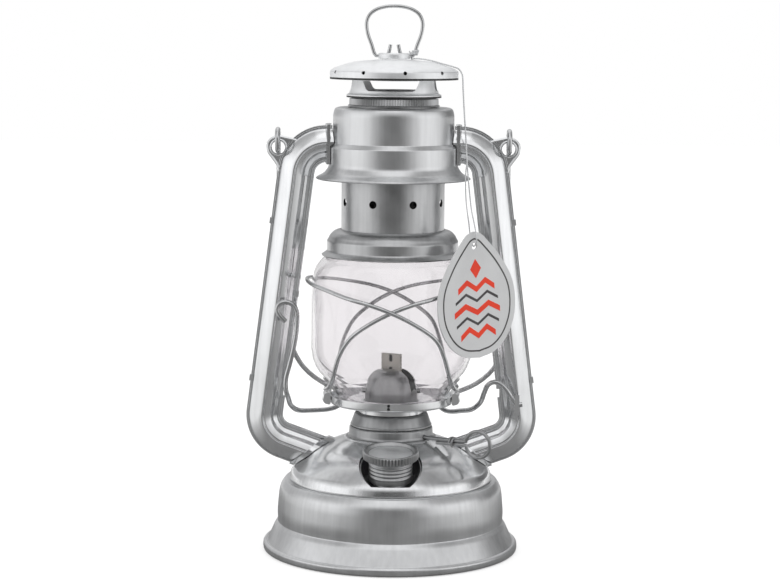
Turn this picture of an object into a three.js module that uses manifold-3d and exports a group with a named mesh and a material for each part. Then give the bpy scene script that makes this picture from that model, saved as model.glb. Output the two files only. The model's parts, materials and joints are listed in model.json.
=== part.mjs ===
// Hurricane lantern: a tin tank with a wick burner, a glass globe in a wire guard that a lever lifts,
// a sprung chimney with a hand ring, a hood, two side tubes that carry air down, and a wire bail.
// Millimetres, +Z up. The origin is on the axis of the globe, on the plane that the foot rests on.
// -Y is the front, where the filler cap and the knob of the wick are.

import * as THREE from 'three';
import { mergeVertices } from 'three/addons/utils/BufferGeometryUtils.js';
import Module from 'manifold-3d';

const wasm = await Module();
wasm.setup();

// Driving dimensions that several pieces share
const sheet = 0.7;
const seat = 0.35;
const overrun = 6;
const degree = Math.PI / 180;
const roundSides = 20;
const smallSides = 16;
const screwSides = 20;
const holeSides = 6;
const wireSides = 6;

// Heights, each counted from the piece that it stands on or hangs from
const rise = {
  waist: 15,
  tankFloor: 0.6,
  shoulder: 15,
  band: 8.2,
  bandWidth: 3.8,
  dome: 17.3,
  fillerRim: 0.3,
  panDepth: 16.7,
  neckDrop: 4.6,
  skirtDrop: 15.6,
  collar: 5.9,
  airPlate: 1.6,
  cone: 6.9,
  capShoulder: 12.5,
  capCrown: 10.8,
  slotBase: 0.6,
  rivetDrop: 0.3,
  wickBase: 9.4,
  wickTop: 7.6,
  wickTubeBase: 20,
  wickTubeDrop: 4.9,
  wickShaft: 1.9,
  trough: 4.9,
  deck: 2.4,
  rimFold: 1,
  rim: 4.4,
  lugDrop: 0.2,
  lug: 6.4,
  globeFoot: 2,
  globe: 81,
  guard: 62.8,
  crownLipDrop: 5,
  crownBand: 2,
  crownBandWidth: 5.4,
  crownShoulder: 5.6,
  chimneyTube: 29.4,
  chimneyHoleDrop: 15,
  chimneyPipe: 37.9,
  ringLip: 0.6,
  windowSill: 3.6,
  windowRing: 9.5,
  lidRim: 0.5,
  lidRimWidth: 3.5,
  lidDome: 6,
  boss: 3.3,
  ringPivot: 1.8,
  hoodFlangeDrop: 3,
  hoodLower: 6.6,
  hoodStep: 9.4,
  hoodEdge: 17.6,
  hoodTop: 2.9,
  hoodCollar: 4.5,
  baffle: 2.2,
  upperBendDrop: 14.6,
  lowerBend: 11.1,
  notch: 12.1,
  ear: 14,
  bailPivot: 3.7,
  leverPivot: 1.3,
  tagDrop: 24.6,
};

// Tank: a wall with a flared foot, a dome that covers it, and the plates inside
const tank = {
  footRadius: 66.6,
  beadRadius: 2.2,
  waistRadius: 59,
  waistHeight: rise.waist,
  shoulderStart: rise.waist + rise.shoulder,
  bandRadius: 52.6,
  bandBase: rise.waist + rise.shoulder + rise.band,
  domeEdge: 1.1,
  domeRadius: 23.6,
  domeBulge: 1.1,
  lip: 2.6,
  floorHeight: rise.waist + rise.tankFloor,
  floorRim: 3.6,
  plateHole: 8.4,
};
tank.bandTop = tank.bandBase + rise.bandWidth;
tank.domeHeight = tank.bandTop + rise.dome;

// Filler: a screw cap over a short neck, in a pan that is sunk in the front of the dome
const filler = {
  distance: 40.2,
  tilt: 8.5 * degree,
  rimTop: tank.domeHeight + rise.fillerRim,
  panRadius: 16,
  neckRadius: 9.6,
  neckWall: 0.8,
  neckLip: 1.6,
  capRadius: 14.6,
  capRim: 4.3,
  dish: 2,
  dishRadius: 12.6,
  skirtRadius: 11.3,
  sealThickness: 1.4,
};
filler.panFloor = filler.rimTop - rise.panDepth;
filler.neckTop = filler.rimTop - rise.neckDrop;
filler.skirtBase = filler.rimTop - rise.skirtDrop;

// Burner: a collar and a cone on the dome, with the wick, its shaft and the slotted cap of the flame
const burner = {
  collarRadius: 21.8,
  collarFlange: 1.6,
  collarTop: tank.domeHeight + rise.collar,
  coneRadius: 21.2,
  coneStep: 1.1,
  coneTopRadius: 19.2,
  deckRadius: 13,
  plateHoles: 6,
  plateHoleRadius: 1.6,
  plateHoleCircle: 14,
  capRadius: 13.6,
  slotWidth: 3.8,
  rivetRadius: 1.3,
  rivetReach: 1.7,
};
burner.plateHeight = burner.collarTop + rise.airPlate;
burner.coneTop = burner.collarTop + rise.cone;
burner.capShoulder = burner.coneTop + rise.capShoulder;
burner.capTop = burner.capShoulder + rise.capCrown;
burner.slotBase = burner.capShoulder + rise.slotBase;
burner.rivetHeight = burner.capShoulder - rise.rivetDrop;

const wick = {
  azimuth: 27 * degree,
  width: 12,
  thickness: 2,
  base: tank.floorHeight + rise.wickBase,
  top: burner.capTop + rise.wickTop,
  tubeGap: 0.45,
  tubeWall: 0.6,
  tubeBase: tank.domeHeight - rise.wickTubeBase,
  tubeTop: burner.capTop - rise.wickTubeDrop,
  shaftHeight: tank.domeHeight + rise.wickShaft,
  wireRadius: 0.95,
  spurRadius: 2.75,
  spurWidth: 1.4,
  spurTeeth: 6,
  spurSpread: 5.2,
  shaftInner: 10,
  returnStart: 28.5,
  ringRadius: 6.8,
  ringDistance: 52,
};

// Carriage: the plate that carries the globe, with its clips, lugs and guard wires
const carriage = {
  rimRadius: 32.1,
  troughRadius: 24.4,
  troughHeight: burner.coneTop + rise.trough,
  deckEdge: 1,
  hubRadius: 17,
  clipWidth: 9,
  lugReach: 3.9,
  lugWidth: 16,
};
carriage.deckHeight = carriage.troughHeight + rise.deck;
carriage.rimBase = carriage.troughHeight + rise.rimFold;
carriage.rimTop = carriage.troughHeight + rise.rim;
carriage.lugBase = carriage.troughHeight - rise.lugDrop;
carriage.lugTop = carriage.troughHeight + rise.lug;

const globe = {
  radius: 42.1,
  base: carriage.troughHeight + rise.globeFoot,
  footRadius: 27.6,
  neckRadius: 32.3,
  wall: 1.8,
};
globe.top = globe.base + rise.globe;

const guard = {
  wireRadius: 1.05,
  radius: 44.3,
  top: globe.base + rise.guard,
};

// Chimney: it rides on the globe and slides up through the hood
const chimney = {
  lipRadius: 36.8,
  lipBase: globe.top - rise.crownLipDrop,
  bandRadius: 34,
  tubeRadius: 26.7,
  holes: 8,
  holeRadius: 2,
  holeTurn: 22.5 * degree,
  pipeRadius: 21.8,
  springWire: 0.6,
  springTurns: 4,
};
chimney.bandBase = chimney.lipBase + rise.crownBand;
chimney.bandTop = chimney.bandBase + rise.crownBandWidth;
chimney.shoulderTop = chimney.bandTop + rise.crownShoulder;
chimney.tubeTop = chimney.shoulderTop + rise.chimneyTube;
chimney.holeHeight = chimney.tubeTop - rise.chimneyHoleDrop;
chimney.pipeTop = chimney.tubeTop + rise.chimneyPipe;

const cap = {
  ringLipRadius: 24.4,
  ringLipBase: chimney.pipeTop + rise.ringLip,
  ringLip: 1.6,
  ringRadius: 22.8,
  ringTopRadius: 22,
  windowWidth: 29,
  windowSillWidth: 23.5,
  sideWindowWidth: 15,
  radius: 33,
  holes: 8,
  holeRadius: 0.8,
  holeTurn: 13 * degree,
  bossRadius: 8.2,
  bossWall: 1.5,
};
cap.windowSill = cap.ringLipBase + rise.windowSill;
cap.ringTop = cap.ringLipBase + rise.windowRing;
cap.rimBase = cap.ringTop + rise.lidRim;
cap.rimTop = cap.rimBase + rise.lidRimWidth;
cap.domeTop = cap.rimTop + rise.lidDome;
cap.bossTop = cap.domeTop + rise.boss;

const handRing = {
  wireRadius: 0.95,
  pivotHeight: cap.domeTop + rise.ringPivot,
  halfWidth: 14.3,
  height: 25.3,
  legHalfSpan: 9.6,
  stubHeight: 5.6,
};

// Hood: the fixed cover that the side tubes hold up
const hood = {
  flangeRadius: 40.1,
  flangeBase: chimney.tubeTop - rise.hoodFlangeDrop,
  lowerRadius: 33.3,
  upperRadius: 31.2,
  collarRadius: 22.9,
};
hood.lowerBase = hood.flangeBase + rise.hoodLower;
hood.stepHeight = hood.lowerBase + rise.hoodStep;
hood.edgeHeight = hood.stepHeight + rise.hoodEdge;
hood.top = hood.edgeHeight + rise.hoodTop;
hood.collarTop = hood.top + rise.hoodCollar;
hood.baffleHeight = hood.lowerBase + rise.baffle;

// Side tubes: front and back pressings that meet at flanges on both edges
const tube = {
  bodyWidth: 15.3,
  flange: 2,
  depth: 8.2,
  innerDepth: 6.8,
  wall: 0.8,
  upperBend: { x: 34.2, z: hood.stepHeight - rise.upperBendDrop, radius: 16.1 },
  lowerBend: { x: 51.5, z: tank.domeHeight + rise.lowerBend, radius: 14.65 },
  footSlope: 20 * degree,
  socketWidth: 1.5,
  socketLip: 0.9,
  footWidth: 2.3,
  notchLength: 4.6,
};
tube.notchHeight = tube.lowerBend.z + rise.notch;

const ear = {
  x: 59.3,
  z: tube.upperBend.z + rise.ear,
  radius: 5.9,
  holeRadius: 3.4,
  rootHeight: 13,
  rootTurn: 55 * degree,
};

const bail = {
  wireRadius: 1.3,
  pivotX: 59.6,
  pivotZ: ear.z + rise.bailPivot,
  eyeRadius: 5.5,
  eyeStart: -10 * degree,
  eyeEnd: 275 * degree,
  length: 150,
  globeGap: 0.6,
  sway: 5,
};
bail.tilt = Math.asin((globe.radius + bail.globeGap + bail.wireRadius - bail.eyeRadius / 2) / bail.length);

const lever = {
  wireRadius: 1.3,
  pivotX: 64.2,
  pivotZ: carriage.troughHeight + rise.leverPivot,
  reach: 116.1,
  hookRise: 52.4,
  frontGap: 0.4,
  burnerGap: 1.4,
  bracketWidth: 2.4,
  bracketShift: 0.8,
  bracketHeight: 10.8,
  bracketWall: 0.9,
};

// Paper tag and the string that ties it to the hand ring
const tag = {
  width: 51,
  height: 65,
  thickness: 0.8,
  turn: 38 * degree,
  lean: 3 * degree,
  apex: [40.6, -28.6, hood.flangeBase - rise.tagDrop],
  holeRadius: 2.2,
  holeDrop: 7.5,
};
const string = {
  radius: 0.45,
  loopGap: 0.1,
  tail: 2.4,
};

// Finishes
const finish = (color, roughness, metalness) => new THREE.MeshStandardMaterial({ color, roughness, metalness });
const satinTin = finish(0xb9bbbd, 0.38, 1);
const brightTin = finish(0xd2d3d4, 0.2, 1);
const wireSteel = finish(0xb4b5b6, 0.25, 1);
const clearGlass = new THREE.MeshStandardMaterial({
  color: 0xeef2f2, roughness: 0.04, metalness: 0, transparent: true, opacity: 0.3,
});
const cotton = finish(0xe6ddc8, 0.9, 0);
const rubber = finish(0x2a2a2a, 0.8, 0);
const card = finish(0xd9dadb, 0.7, 0);
const silverString = finish(0xc4c5c7, 0.5, 0.4);

const group = new THREE.Group();

// Solids for joining and cutting

function solid(geometry) {
  const bare = new THREE.BufferGeometry();
  bare.setAttribute('position', geometry.getAttribute('position').clone());
  if (geometry.index) bare.setIndex(geometry.index.clone());
  const merged = mergeVertices(bare, sheet / 2000);
  const place = merged.getAttribute('position');
  const index = merged.index.array;
  const corner = [new THREE.Vector3(), new THREE.Vector3(), new THREE.Vector3()];
  const faces = [];
  let volume = 0;
  for (let i = 0; i < index.length; i += 3) {
    const [a, b, c] = [index[i], index[i + 1], index[i + 2]];
    if (a === b || b === c || a === c) continue;
    [a, b, c].forEach((vertex, k) => corner[k].fromBufferAttribute(place, vertex));
    volume += corner[0].dot(corner[1].cross(corner[2]));
    faces.push(a, b, c);
  }
  if (volume < 0) faces.reverse();
  return new wasm.Manifold(new wasm.Mesh({
    numProp: 3,
    vertProperties: Float32Array.from(place.array),
    triVerts: Uint32Array.from(faces),
  }));
}

function geometryOf(body) {
  const { numProp, vertProperties, triVerts } = body.getMesh();
  const places = [];
  for (let i = 0; i < vertProperties.length; i += numProp) {
    places.push(vertProperties[i], vertProperties[i + 1], vertProperties[i + 2]);
  }
  const geometry = new THREE.BufferGeometry();
  geometry.setAttribute('position', new THREE.Float32BufferAttribute(places, 3));
  geometry.setIndex([...triVerts]);
  return geometry;
}

const moved = (body, matrix) => solid(geometryOf(body).applyMatrix4(matrix));
const mirrored = (body, x, y) => solid(geometryOf(body).scale(x, y, 1));
const joined = (...bodies) => bodies.reduce((whole, body) => whole.add(body));
const cut = (body, ...tools) => tools.reduce((rest, tool) => rest.subtract(tool), body);

function addPart(name, body, material, parent = group) {
  const geometry = geometryOf(body);
  geometry.computeVertexNormals();
  const mesh = new THREE.Mesh(geometry, material);
  mesh.name = name;
  parent.add(mesh);
}

// Outlines are lists of [radius, height]

const flatPoint = ([a, b]) => new THREE.Vector2(a, b);

// A curve from one point to another that leaves and arrives along the lines to the corner
function bend(from, corner, to, steps = 3) {
  const curve = new THREE.QuadraticBezierCurve(flatPoint(from), flatPoint(corner), flatPoint(to));
  return curve.getPoints(steps).map((point) => [point.x, point.y]);
}

function arc(centreA, centreB, radius, start, end, steps) {
  return Array.from({ length: steps + 1 }, (_, i) => {
    const angle = start + ((end - start) * i) / steps;
    return [centreA + radius * Math.cos(angle), centreB + radius * Math.sin(angle)];
  });
}

// The line at a distance to the left of an open outline
function beside(outline, distance) {
  const points = outline.map(flatPoint);
  return points.map((point, i) => {
    const before = i > 0 ? point.clone().sub(points[i - 1]).normalize() : null;
    const after = i < points.length - 1 ? points[i + 1].clone().sub(point).normalize() : null;
    const along = (before ?? after).clone().add(after ?? before).normalize();
    const reach = distance / along.dot(before ?? after);
    return [point.x - along.y * reach, point.y + along.x * reach];
  });
}

const wall = (outline, thickness = sheet) => [...outline, ...beside(outline, thickness).reverse()];

function turned(outline, sides = roundSides) {
  const points = outline.map(flatPoint);
  const onAxis = outline[0][0] === 0 && outline.at(-1)[0] === 0;
  if (!onAxis) points.push(points[0].clone());
  return solid(new THREE.LatheGeometry(points, sides).rotateX(90 * degree));
}

const disc = (inner, outer, low, high, sides = roundSides) => (
  turned([[inner, low], [outer, low], [outer, high], [inner, high]], sides));

function rod(from, to, radius, sides = smallSides) {
  const along = to.clone().sub(from);
  const geometry = new THREE.CylinderGeometry(radius, radius, along.length(), sides);
  geometry.applyQuaternion(new THREE.Quaternion().setFromUnitVectors(
    new THREE.Vector3(0, 1, 0), along.clone().normalize()));
  const middle = from.clone().add(to).multiplyScalar(0.5);
  return solid(geometry.translate(middle.x, middle.y, middle.z));
}

function block(low, high) {
  const size = high.map((value, i) => value - low[i]);
  const middle = high.map((value, i) => (value + low[i]) / 2);
  return solid(new THREE.BoxGeometry(...size).translate(...middle));
}

// A flat outline of [x, z] points, given thickness along Y
function plate(outline, low, high) {
  const shape = new THREE.Shape(outline.map(flatPoint));
  const geometry = new THREE.ExtrudeGeometry(shape, { depth: high - low, bevelEnabled: false, steps: 1 });
  return solid(geometry.rotateX(90 * degree).translate(0, high, 0));
}

// A route through fixed stations, so that a sweep has its rings where the bends need them
class Route extends THREE.Curve {
  constructor(stations, across = null) {
    super();
    this.stations = stations;
    this.across = across;
  }

  getPoint(t, target = new THREE.Vector3()) {
    const place = t * (this.stations.length - 1);
    const index = Math.min(Math.floor(place), this.stations.length - 2);
    return target.lerpVectors(this.stations[index], this.stations[index + 1], place - index);
  }

  getPointAt(u, target) {
    return this.getPoint(u, target);
  }

  getTangentAt(u, target = new THREE.Vector3()) {
    const index = Math.round(u * (this.stations.length - 1));
    const here = this.stations[index];
    const before = this.stations[Math.max(index - 1, 0)];
    const after = this.stations[Math.min(index + 1, this.stations.length - 1)];
    const arriving = here.clone().sub(before).normalize();
    const leaving = after.clone().sub(here).normalize();
    return target.addVectors(arriving, leaving).normalize();
  }

  computeFrenetFrames(steps, closed) {
    if (!this.across) return super.computeFrenetFrames(steps, closed);
    const tangents = this.stations.map((_, i) => this.getTangentAt(i / steps));
    const normals = tangents.map(() => this.across.clone());
    const binormals = tangents.map((tangent) => tangent.clone().cross(this.across).normalize());
    return { tangents, normals, binormals };
  }
}

function swept(outline, stations, across = null) {
  const shape = new THREE.Shape(outline.map(flatPoint));
  const route = new Route(stations, across);
  const settings = { steps: stations.length - 1, bevelEnabled: false, extrudePath: route };
  return solid(new THREE.ExtrudeGeometry(shape, settings));
}

function wire(stations, radius, sides = wireSides) {
  const outline = arc(0, 0, radius, 0, 360 * degree, sides).slice(0, sides);
  return swept(outline, stations);
}

// Stations at even steps along a smooth curve through the points
function smooth(points, steps) {
  return new THREE.CatmullRomCurve3(points, false, 'centripetal').getSpacedPoints(steps);
}

const point = (x, y, z) => new THREE.Vector3(x, y, z);

// Tank

// The bead is a ring with eight sides, one of them flat on the ground
const beadSides = 8;
const beadStep = (360 * degree) / beadSides;
const beadX = tank.footRadius - tank.beadRadius;
const beadCorner = tank.beadRadius / Math.cos(beadStep / 2);
const bead = arc(beadX, tank.beadRadius, beadCorner, beadStep * 3.5, beadStep * 8.5, 5);
const flare = bend(
  [beadX + tank.beadRadius * 0.4, tank.beadRadius * 2],
  [beadX - tank.beadRadius, tank.waistHeight * 0.72],
  [tank.waistRadius + sheet, tank.waistHeight - sheet], 2);
const tankWall = [
  [tank.waistRadius, tank.waistHeight],
  [tank.waistRadius, tank.shoulderStart],
  ...bend(
    [tank.waistRadius, tank.shoulderStart + sheet],
    [tank.waistRadius - sheet, tank.bandBase - sheet * 2],
    [tank.bandRadius + sheet, tank.bandBase - sheet * 1.2], 1),
  [tank.bandRadius - tank.lip, tank.bandBase - sheet * 1.2],
];
const tankInner = beside(tankWall, sheet).reverse();
const footInner = [
  [tank.waistRadius - sheet, tank.waistHeight - sheet],
  ...beside(flare.slice(1), sheet).reverse(),
];
addPart('tank_body', turned([...bead, ...flare, ...tankWall, ...tankInner, ...footInner]), satinTin);

const floorRadius = tank.waistRadius - sheet - seat;
addPart('tank_floor', turned([
  [0, tank.floorHeight],
  [floorRadius, tank.floorHeight],
  [floorRadius, tank.floorHeight + tank.floorRim],
  [floorRadius - sheet, tank.floorHeight + tank.floorRim],
  [floorRadius - sheet, tank.floorHeight + sheet],
  [0, tank.floorHeight + sheet],
]), satinTin);

const plateRadius = tank.bandRadius - sheet - seat;
const tankPlate = disc(tank.plateHole, plateRadius, tank.bandBase, tank.bandBase + sheet);

const domeStart = [tank.bandRadius - tank.domeEdge, tank.bandTop + tank.domeEdge];
const domeEnd = [tank.domeRadius, tank.domeHeight];
const domeMiddle = [
  (domeStart[0] + domeEnd[0]) / 2 + tank.domeBulge,
  (domeStart[1] + domeEnd[1]) / 2 + tank.domeBulge * 2,
];
const domeTopInner = burner.deckRadius + overrun;
const domeLine = [
  [tank.bandRadius, tank.bandBase],
  [tank.bandRadius, tank.bandTop],
  ...bend(domeStart, domeMiddle, domeEnd, 2),
  [domeTopInner, tank.domeHeight + sheet / 4],
];
const domeShell = turned(wall(domeLine));
const insideDome = (drop) => turned([
  [0, tank.bandBase],
  [tank.bandRadius - drop, tank.bandBase],
  ...bend(domeStart, domeMiddle, domeEnd, 2).map(([r, z]) => [r - drop, z - drop]),
  [0, tank.domeHeight - drop],
]);

// Filler, in a frame of its own that leans forward

const fillerPlace = new THREE.Matrix4()
  .makeRotationX(filler.tilt)
  .setPosition(0, -filler.distance, filler.rimTop);
const drop = (height) => height - filler.rimTop;
const fillerGroup = new THREE.Group();
fillerGroup.applyMatrix4(fillerPlace);
group.add(fillerGroup);

const fillerCylinder = (radius, low, high) => (
  moved(disc(0, radius, drop(low), drop(high)), fillerPlace));
const panMouth = fillerCylinder(filler.panRadius, filler.panFloor - sheet - seat, filler.rimTop)
  .intersect(insideDome(-overrun).intersect(disc(
    0, tank.bandRadius - tank.domeEdge, tank.bandBase, filler.rimTop + overrun)));
const panBody = fillerCylinder(filler.panRadius - seat, filler.panFloor - sheet, filler.rimTop)
  .intersect(insideDome(seat))
  .intersect(disc(0, tank.bandRadius - tank.domeEdge - sheet, tank.bandBase, filler.rimTop));
const panHollow = fillerCylinder(filler.panRadius - seat - sheet, filler.panFloor, filler.rimTop)
  .intersect(disc(0, tank.bandRadius - tank.domeEdge - sheet * 2, tank.bandBase, filler.rimTop));
const neckBore = fillerCylinder(filler.neckRadius + seat, filler.panFloor - overrun, filler.rimTop);
addPart('filler_pan', cut(panBody, panHollow, neckBore), satinTin);

const neckBase = filler.panFloor - sheet - seat - filler.neckLip;
addPart('filler_neck', turned([
  [filler.neckRadius - filler.neckWall, drop(neckBase)],
  [filler.neckRadius + filler.neckLip, drop(neckBase)],
  [filler.neckRadius + filler.neckLip, drop(neckBase + filler.neckLip)],
  [filler.neckRadius, drop(neckBase + filler.neckLip)],
  [filler.neckRadius, drop(filler.neckTop)],
  [filler.neckRadius - filler.neckWall, drop(filler.neckTop)],
], smallSides), satinTin, fillerGroup);

const sealBase = filler.neckTop + seat;
const skirtBore = filler.neckRadius + seat;
const capCeiling = sealBase + filler.sealThickness + seat;
addPart('filler_seal', disc(
  filler.neckRadius - filler.neckWall * 2, skirtBore - seat / 2, drop(sealBase),
  drop(sealBase + filler.sealThickness), smallSides), rubber, fillerGroup);
addPart('filler_cap', turned([
  [0, drop(capCeiling)],
  [skirtBore, drop(capCeiling)],
  [skirtBore, drop(filler.skirtBase)],
  [filler.skirtRadius, drop(filler.skirtBase)],
  [filler.skirtRadius, -filler.capRim],
  [filler.capRadius - sheet, -filler.capRim],
  [filler.capRadius, -filler.capRim + sheet],
  [filler.capRadius, -sheet],
  [filler.capRadius - sheet, 0],
  [filler.dishRadius, 0],
  [filler.dishRadius - sheet, -filler.dish],
  [0, -filler.dish],
], screwSides), satinTin, fillerGroup);

const tankPlateCut = fillerCylinder(filler.neckRadius + filler.neckLip + seat, tank.floorHeight, filler.rimTop);
addPart('tank_plate', cut(tankPlate, tankPlateCut), satinTin);

// Side tubes

const upper = tube.upperBend;
const lower = tube.lowerBend;
const tubeHalfWidth = tube.bodyWidth / 2 + tube.flange;

// The straight run touches both bends on their outer side
const run = { x: lower.x - upper.x, z: lower.z - upper.z };
const runLength = Math.hypot(run.x, run.z);
const tubeLean = Math.atan2(run.x, -run.z) - Math.asin((upper.radius - lower.radius) / runLength);
const tubeEnd = 90 * degree - tube.footSlope;
const bendSteps = 4;
const tubeRoute = [
  [upper.x - tube.bodyWidth, upper.z + upper.radius],
  ...arc(upper.x, upper.z, upper.radius, 90 * degree, tubeLean, bendSteps),
  ...arc(lower.x, lower.z, lower.radius, tubeLean, -tubeEnd, bendSteps),
];
const tubeTail = tubeRoute.at(-1);
const tailLength = tube.bodyWidth * 2.2;
tubeRoute.push([
  tubeTail[0] - tailLength * Math.cos(tube.footSlope),
  tubeTail[1] - tailLength * Math.sin(tube.footSlope),
]);
const tubeStations = tubeRoute.map(([x, z]) => point(x, 0, z));
const forward = point(0, -1, 0);

// Outline of a front pressing as [depth, distance from the centre line towards the lantern]
const bodyEdge = tube.bodyWidth / 2;
const creaseStart = tube.bodyWidth * 0.06;
const creaseEnd = tube.bodyWidth * 0.12;
const pressingOuter = (grow) => [
  [tube.wall + seat / 2 + grow, -bodyEdge - grow],
  [tube.depth * 0.75 + grow, -bodyEdge + tube.depth * 0.12 - grow],
  [tube.depth + grow, -bodyEdge + tube.depth * 0.34 - grow],
  [tube.depth + grow, creaseStart],
  [tube.innerDepth + grow, creaseEnd],
  [tube.innerDepth + grow, bodyEdge - tube.depth * 0.34 + grow],
  [tube.wall + seat / 2 + grow, bodyEdge + grow],
];
const pressingInner = [
  [seat / 2, bodyEdge - tube.wall],
  [tube.innerDepth - tube.wall, bodyEdge - tube.depth * 0.34 - tube.wall / 2],
  [tube.innerDepth - tube.wall, creaseEnd - tube.wall],
  [tube.depth - tube.wall, creaseStart - tube.wall],
  [tube.depth - tube.wall, -bodyEdge + tube.depth * 0.38],
  [seat / 2, -bodyEdge + tube.wall],
];
const pressing = [
  [tube.wall + seat / 2, -tubeHalfWidth],
  ...pressingOuter(0),
  [tube.wall + seat / 2, tubeHalfWidth],
  [seat / 2, tubeHalfWidth],
  ...pressingInner,
  [seat / 2, -tubeHalfWidth],
];

// The filled outline of the whole tube, grown by a distance
function tubeFill(grow) {
  const edge = tubeHalfWidth + grow;
  const half = [
    [tube.wall + seat / 2 + grow, -edge],
    ...pressingOuter(grow),
    [tube.wall + seat / 2 + grow, edge],
  ];
  const back = half.map(([depth, side]) => [-depth, side]).reverse();
  return swept([...half, ...back], tubeStations, forward);
}

function tubeBore() {
  const half = pressingInner.map(([depth, side]) => [Math.max(depth, seat), side]);
  const back = half.map(([depth, side]) => [-depth, side]).reverse();
  return swept([...half, ...back], tubeStations, forward);
}

const domeFill = (rise) => turned([
  [0, 0],
  [tank.bandRadius + rise, 0],
  [tank.bandRadius + rise, tank.bandTop],
  ...beside(bend(domeStart, domeMiddle, domeEnd, 2), -rise),
  [0, tank.domeHeight + rise],
]);
const hoodFill = (rise) => turned([
  [0, hood.flangeBase],
  [hood.lowerRadius + rise, hood.flangeBase],
  [hood.lowerRadius + rise, hood.stepHeight + rise],
  [hood.upperRadius + rise, hood.stepHeight + hood.lowerRadius - hood.upperRadius + rise],
  [hood.upperRadius + rise, hood.top + overrun],
  [0, hood.top + overrun],
]);

// Each ear is the outer flange drawn out into a tab for the bail
const earRoot = upper.x + (upper.radius + tubeHalfWidth) * Math.cos(ear.rootTurn);
const earOutline = [
  [earRoot, ear.z + ear.radius],
  ...arc(ear.x, ear.z, ear.radius, 100 * degree, -40 * degree, 7),
  [ear.x - sheet, ear.z - ear.rootHeight],
  [ear.x - ear.radius - sheet, ear.z - ear.rootHeight],
];
const earHole = rod(
  point(ear.x, -tube.depth, ear.z), point(ear.x, tube.depth, ear.z), ear.holeRadius, 10);
const earPlate = plate(earOutline, -seat / 2 - tube.wall, -seat / 2);
const runX = (height) => (
  lower.x + lower.radius / Math.cos(tubeLean) + (lower.z - height) * -Math.tan(tubeLean));
const notchX = runX(tube.notchHeight) - tubeHalfWidth;
const notch = block(
  [notchX - tube.flange, -tube.depth, tube.notchHeight - tube.notchLength / 2],
  [notchX + tube.flange * 0.7, tube.depth, tube.notchHeight + tube.notchLength / 2]);

const tubeHollow = tubeBore();
const hoodClear = hoodFill(seat);
const domeClear = domeFill(seat);
const frontPressing = cut(
  joined(swept(pressing, tubeStations, forward), cut(earPlate, tubeHollow)),
  earHole, notch, hoodClear, domeClear);
addPart('right_tube_front', frontPressing, brightTin);
addPart('right_tube_back', mirrored(frontPressing, 1, -1), brightTin);
addPart('left_tube_front', mirrored(frontPressing, -1, 1), brightTin);
addPart('left_tube_back', mirrored(frontPressing, -1, -1), brightTin);

const snug = tubeFill(seat);
const socket = cut(
  tubeFill(seat + tube.socketLip).intersect(hoodFill(seat + tube.socketWidth)),
  snug, hoodClear, disc(0, hood.flangeRadius * 2, 0, hood.flangeBase + seat));
addPart('right_hood_socket', socket, brightTin);
addPart('left_hood_socket', mirrored(socket, -1, 1), brightTin);
const footCollar = cut(
  tubeFill(seat + tube.socketLip).intersect(domeFill(seat + tube.footWidth)),
  snug, domeClear);
addPart('right_tube_foot', footCollar, brightTin);
addPart('left_tube_foot', mirrored(footCollar, -1, 1), brightTin);

const airPort = cut(tubeHollow, disc(0, burner.collarRadius + overrun, 0, hood.flangeBase));
addPart('tank_dome', cut(domeShell, panMouth, airPort, mirrored(airPort, -1, 1)), satinTin);

// Burner

const wickHalf = wick.width / 2;
const tubeHalf = wickHalf + wick.tubeGap;
const tubeThick = wick.thickness / 2 + wick.tubeGap;
const shaftOffset = wick.thickness / 2 + seat + wick.spurRadius;
const collarBase = tank.domeHeight + sheet + seat;
addPart('burner_collar', cut(
  turned(wall([
    [burner.collarRadius + burner.collarFlange, collarBase],
    [burner.collarRadius + sheet / 2, collarBase + sheet],
    [burner.collarRadius, collarBase + sheet * 2],
    [burner.collarRadius, burner.collarTop],
  ])),
  rod(
    wickPoint(shaftOffset, burner.collarRadius - overrun, wick.shaftHeight),
    wickPoint(shaftOffset, burner.collarRadius + overrun, wick.shaftHeight),
    wick.wireRadius + seat, holeSides),
), satinTin);

const coneBase = burner.collarTop + seat;
addPart('burner_cone', turned(wall([
  [burner.coneRadius, coneBase],
  [burner.coneRadius, coneBase + burner.coneStep],
  [burner.coneTopRadius, burner.coneTop - sheet],
  [burner.coneTopRadius - sheet, burner.coneTop],
  [burner.deckRadius, burner.coneTop],
])), satinTin);

// Places beside the wick: offset towards the front, distance along its width, and height
function wickPoint(offset, along, height) {
  const [c, s] = [Math.cos(wick.azimuth), Math.sin(wick.azimuth)];
  return point(along * c - offset * s, -along * s - offset * c, height);
}

function wickBlock(halfWidth, halfThickness, low, high) {
  return moved(
    block([-halfWidth, -halfThickness, low], [halfWidth, halfThickness, high]),
    new THREE.Matrix4().makeRotationZ(-wick.azimuth));
}

const spurWindow = wickBlock(
  wick.spurSpread, tubeThick + wick.tubeWall + overrun / 6,
  wick.shaftHeight - wick.spurRadius - seat, wick.shaftHeight + wick.spurRadius + seat);
addPart('wick', wickBlock(wickHalf, wick.thickness / 2, wick.base, wick.top), cotton);
addPart('wick_tube', cut(
  wickBlock(tubeHalf + wick.tubeWall, tubeThick + wick.tubeWall, wick.tubeBase, wick.tubeTop),
  wickBlock(tubeHalf, tubeThick, wick.tubeBase - overrun, wick.tubeTop + overrun),
  spurWindow,
), satinTin);

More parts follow.
